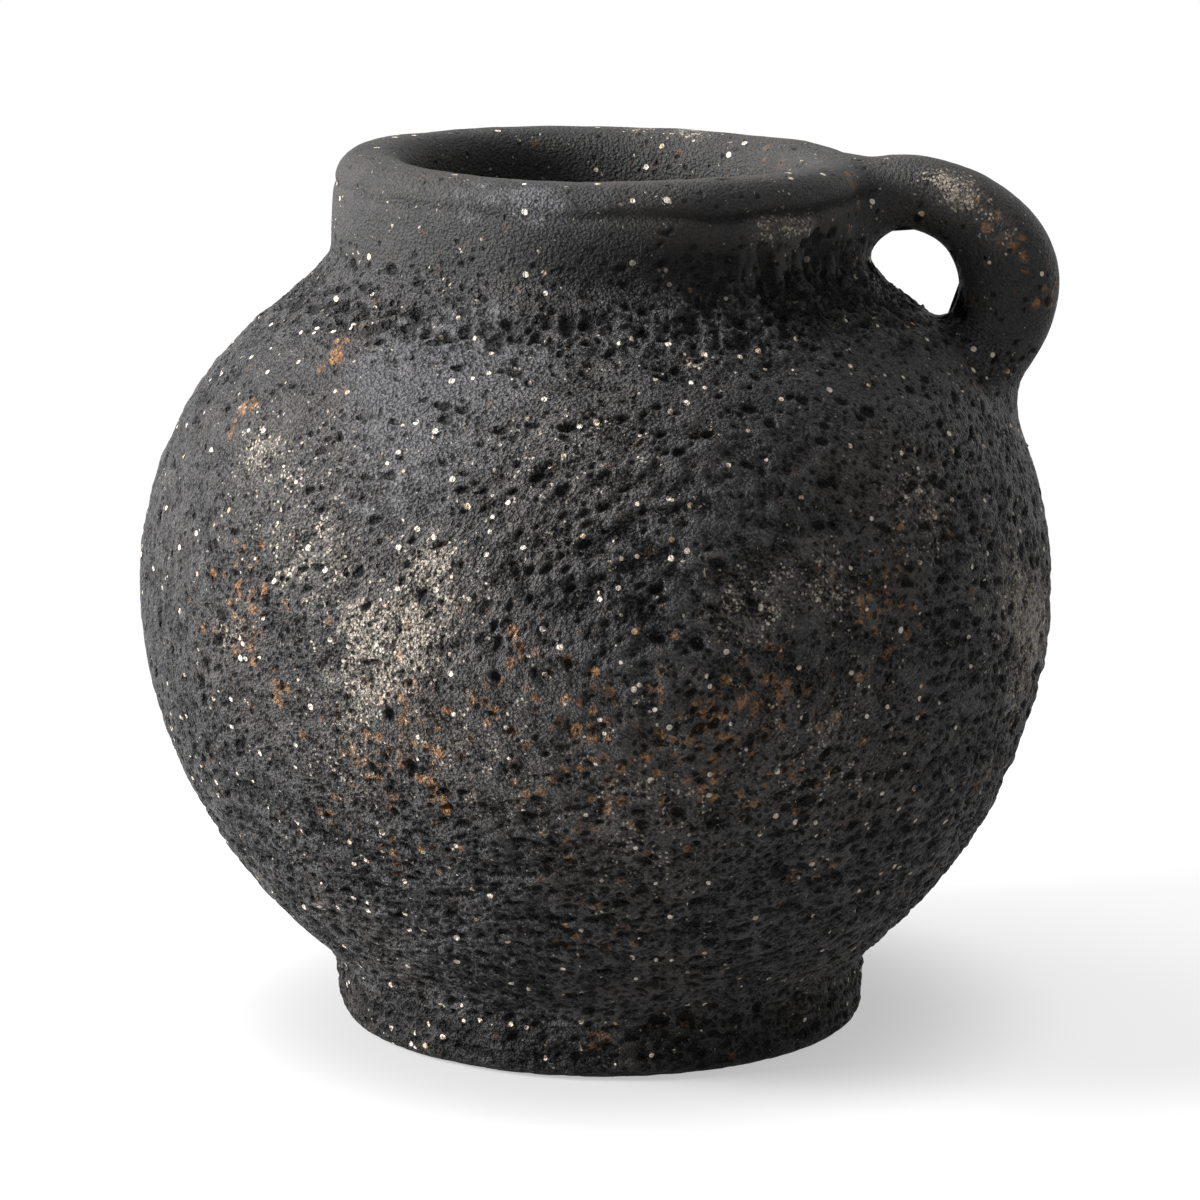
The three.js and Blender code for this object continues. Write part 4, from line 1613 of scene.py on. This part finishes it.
class Studio:
    """The photograph's view, a plain pale floor and soft light, in metres."""

    CAMERA = (0.0, -0.7, 0.2033)
    TARGET = (0.0, 0.0, 0.058)
    LAMP_TARGET = (0.0, 0.0, 0.06)
    SENSOR = 36.0
    LENS = 155.9
    SHIFT = 0.0038
    NEAREST = 0.01
    FARTHEST = 20.0
    AMBIENT = (0.42, 0.42, 0.42)
    FLOOR_SIZE = 6.0
    FLOOR_LIT = (0.4, 0.4, 0.4)
    FLOOR_SEEN = (0.21, 0.21, 0.21)
    FLOOR_LIFT = 0.48
    # Painted shadow round the foot: the floor's glow is this much lower near it, fading out between these
    # distances in metres.
    PAINTED_SHADOW_DEPTH = 0.28
    PAINTED_SHADOW_FROM = 0.036
    PAINTED_SHADOW_TO = 0.07
    FADE_FROM = 0.11
    FADE_TO = 0.3

    def camera(self) -> None:
        """Looks slightly down at the jar, across the handle."""
        data = bpy.data.cameras.new("camera")
        data.sensor_width = self.SENSOR
        data.lens = self.LENS
        data.shift_x = self.SHIFT
        data.clip_start = self.NEAREST
        data.clip_end = self.FARTHEST
        camera = bpy.data.objects.new("camera", data)
        camera.location = self.CAMERA
        camera.rotation_euler = turned_to(self.CAMERA, self.TARGET)
        bpy.context.scene.collection.objects.link(camera)
        bpy.context.scene.camera = camera

    def lit(self, lamp: Lamp) -> None:
        """Hangs a lamp."""
        data = bpy.data.lights.new(lamp.name, "AREA")
        data.shape = "SQUARE"
        data.size = lamp.size
        data.energy = lamp.power
        light = bpy.data.objects.new(lamp.name, data)
        light.location = lamp.place
        light.rotation_euler = turned_to(lamp.place, self.LAMP_TARGET)
        bpy.context.scene.collection.objects.link(light)

    def seen(self, graph: Graph) -> Wire:
        """1 for rays from the camera, from a glossy surface or through glass."""
        camera, glossy, through = (
            graph.node("ShaderNodeLightPath", {}, {}, f"Is {kind} Ray")
            for kind in ("Camera", "Glossy", "Transmission")
        )
        return graph.math("MINIMUM", camera + glossy + through, 1.0)

    def world(self) -> None:
        """Even grey light, with a white background."""
        graph = Graph(bpy.data.worlds.new("studio"))
        tone = graph.mixed(self.seen(graph), self.AMBIENT, WHITE)
        light = graph.node("ShaderNodeBackground", {}, {"Color": tone, "Strength": 1.0})
        bpy.context.scene.world = graph.finished(light)

    def floor(self) -> None:
        """A pale floor that keeps the jar's shadow, has a painted shadow round the foot where it glows less,
        and fades to white.
        """
        half = self.FLOOR_SIZE / 2.0
        mesh = bpy.data.meshes.new("floor")
        corners = [(-half, -half, 0), (half, -half, 0), (half, half, 0), (-half, half, 0)]
        mesh.from_pydata(corners, [], [(0, 1, 2, 3)])
        floor = bpy.data.objects.new("floor", mesh)
        bpy.context.scene.collection.objects.link(floor)
        graph = Graph(bpy.data.materials.new("floor_pale"))
        here = graph.node("ShaderNodeTexCoord", {}, {}, "Object")
        away = graph.node("ShaderNodeVectorMath", {"operation": "LENGTH"}, {0: here}, "Value")
        far = away.stepped(self.FADE_FROM, self.FADE_TO)
        seen = self.seen(graph)
        tone = graph.mixed(seen, self.FLOOR_LIT, self.FLOOR_SEEN)
        matt = graph.node("ShaderNodeBsdfDiffuse", {}, {"Color": tone})
        # Painted shadow: the floor glows less near the foot.
        lift = self.FLOOR_LIFT + self.PAINTED_SHADOW_DEPTH * away.stepped(self.PAINTED_SHADOW_FROM, self.PAINTED_SHADOW_TO)
        glow = graph.node("ShaderNodeEmission", {}, {"Color": seen * lift, "Strength": 1.0})
        near_floor = graph.node("ShaderNodeAddShader", {}, {0: matt, 1: glow})
        white = graph.node("ShaderNodeEmission", {}, {"Color": (*WHITE, 1.0), "Strength": 1.0})
        shader = graph.node("ShaderNodeMixShader", {}, {0: far * seen, 1: near_floor, 2: white})
        floor.data.materials.append(graph.finished(shader))

    def set_up(self) -> None:
        """Makes the whole studio."""
        self.camera()
        for lamp in LAMPS:
            self.lit(lamp)
        self.world()
        self.floor()
        bpy.context.scene.view_settings.view_transform = "Standard"


FINISH_OF_NODE = {
    "base_disc": Finish.RAW,
    "foot_ring": Finish.RAW,
    "foot_seam_clay": Finish.BLACK,
    "lower_body": Finish.BLACK,
    "upper_body": Finish.BLACK,
    "neck_seam_clay": Finish.BLACK,
    "neck_collar": Finish.BURNISHED,
    "lip_coil": Finish.BURNISHED,
    "handle_loop": Finish.BURNISHED,
    "handle_lip_pad": Finish.BURNISHED,
    "handle_shoulder_pad": Finish.BLACK,
}

CLAYS = (
    FiredClay(Finish.BLACK),
    FiredClay(
        Finish.BURNISHED, light=(0.088, 0.086, 0.085), sparkle=0.14, grit=0.25, roughness=0.56, relief=0.18
    ),
    FiredClay(Finish.RAW, light=(0.06, 0.058, 0.057), roughness=0.66),
)


def dressed(piece: bpy.types.Object, materials: dict[Finish, bpy.types.Material]) -> None:
    """Gives a piece its material, hangs it from the root body and hides the frame part that it replaces.

    Args:
        piece: a piece whose name starts with the name of the node that it replaces.
        materials: the clay's material for each finish.
    """
    node = next(name for name in FINISH_OF_NODE if piece.name.startswith(name))
    finish = FINISH_OF_NODE[node]
    piece.data.materials.append(materials[finish])
    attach(piece, "root")
    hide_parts(node)


def main() -> None:
    """Builds the studio and the jar."""
    logging.basicConfig(level=logging.INFO, format="%(name)s: %(message)s")
    studio = Studio()
    studio.set_up()
    sizes = VesselSizes()
    meridian = Meridian(sizes)
    skin = ClaySkin(meridian)
    maker = MeshMaker(HandStray(), sizes.rim_top)
    pieces = list(Vessel(meridian, skin, maker).made().values())
    form = JoinedForm(NearTable(meridian), Handle(HandleSizes()))
    loop = LoopHandle(form, skin, maker)
    pieces.append(loop.roll())
    pieces.append(loop.pad("handle_lip_pad_worked", HandleEnd.LIP))
    pieces.append(loop.pad("handle_shoulder_pad_worked", HandleEnd.SHOULDER))
    materials = {clay.finish: clay.material() for clay in CLAYS}
    for piece in pieces:
        dressed(piece, materials)


if __name__ == "__main__":
    main()
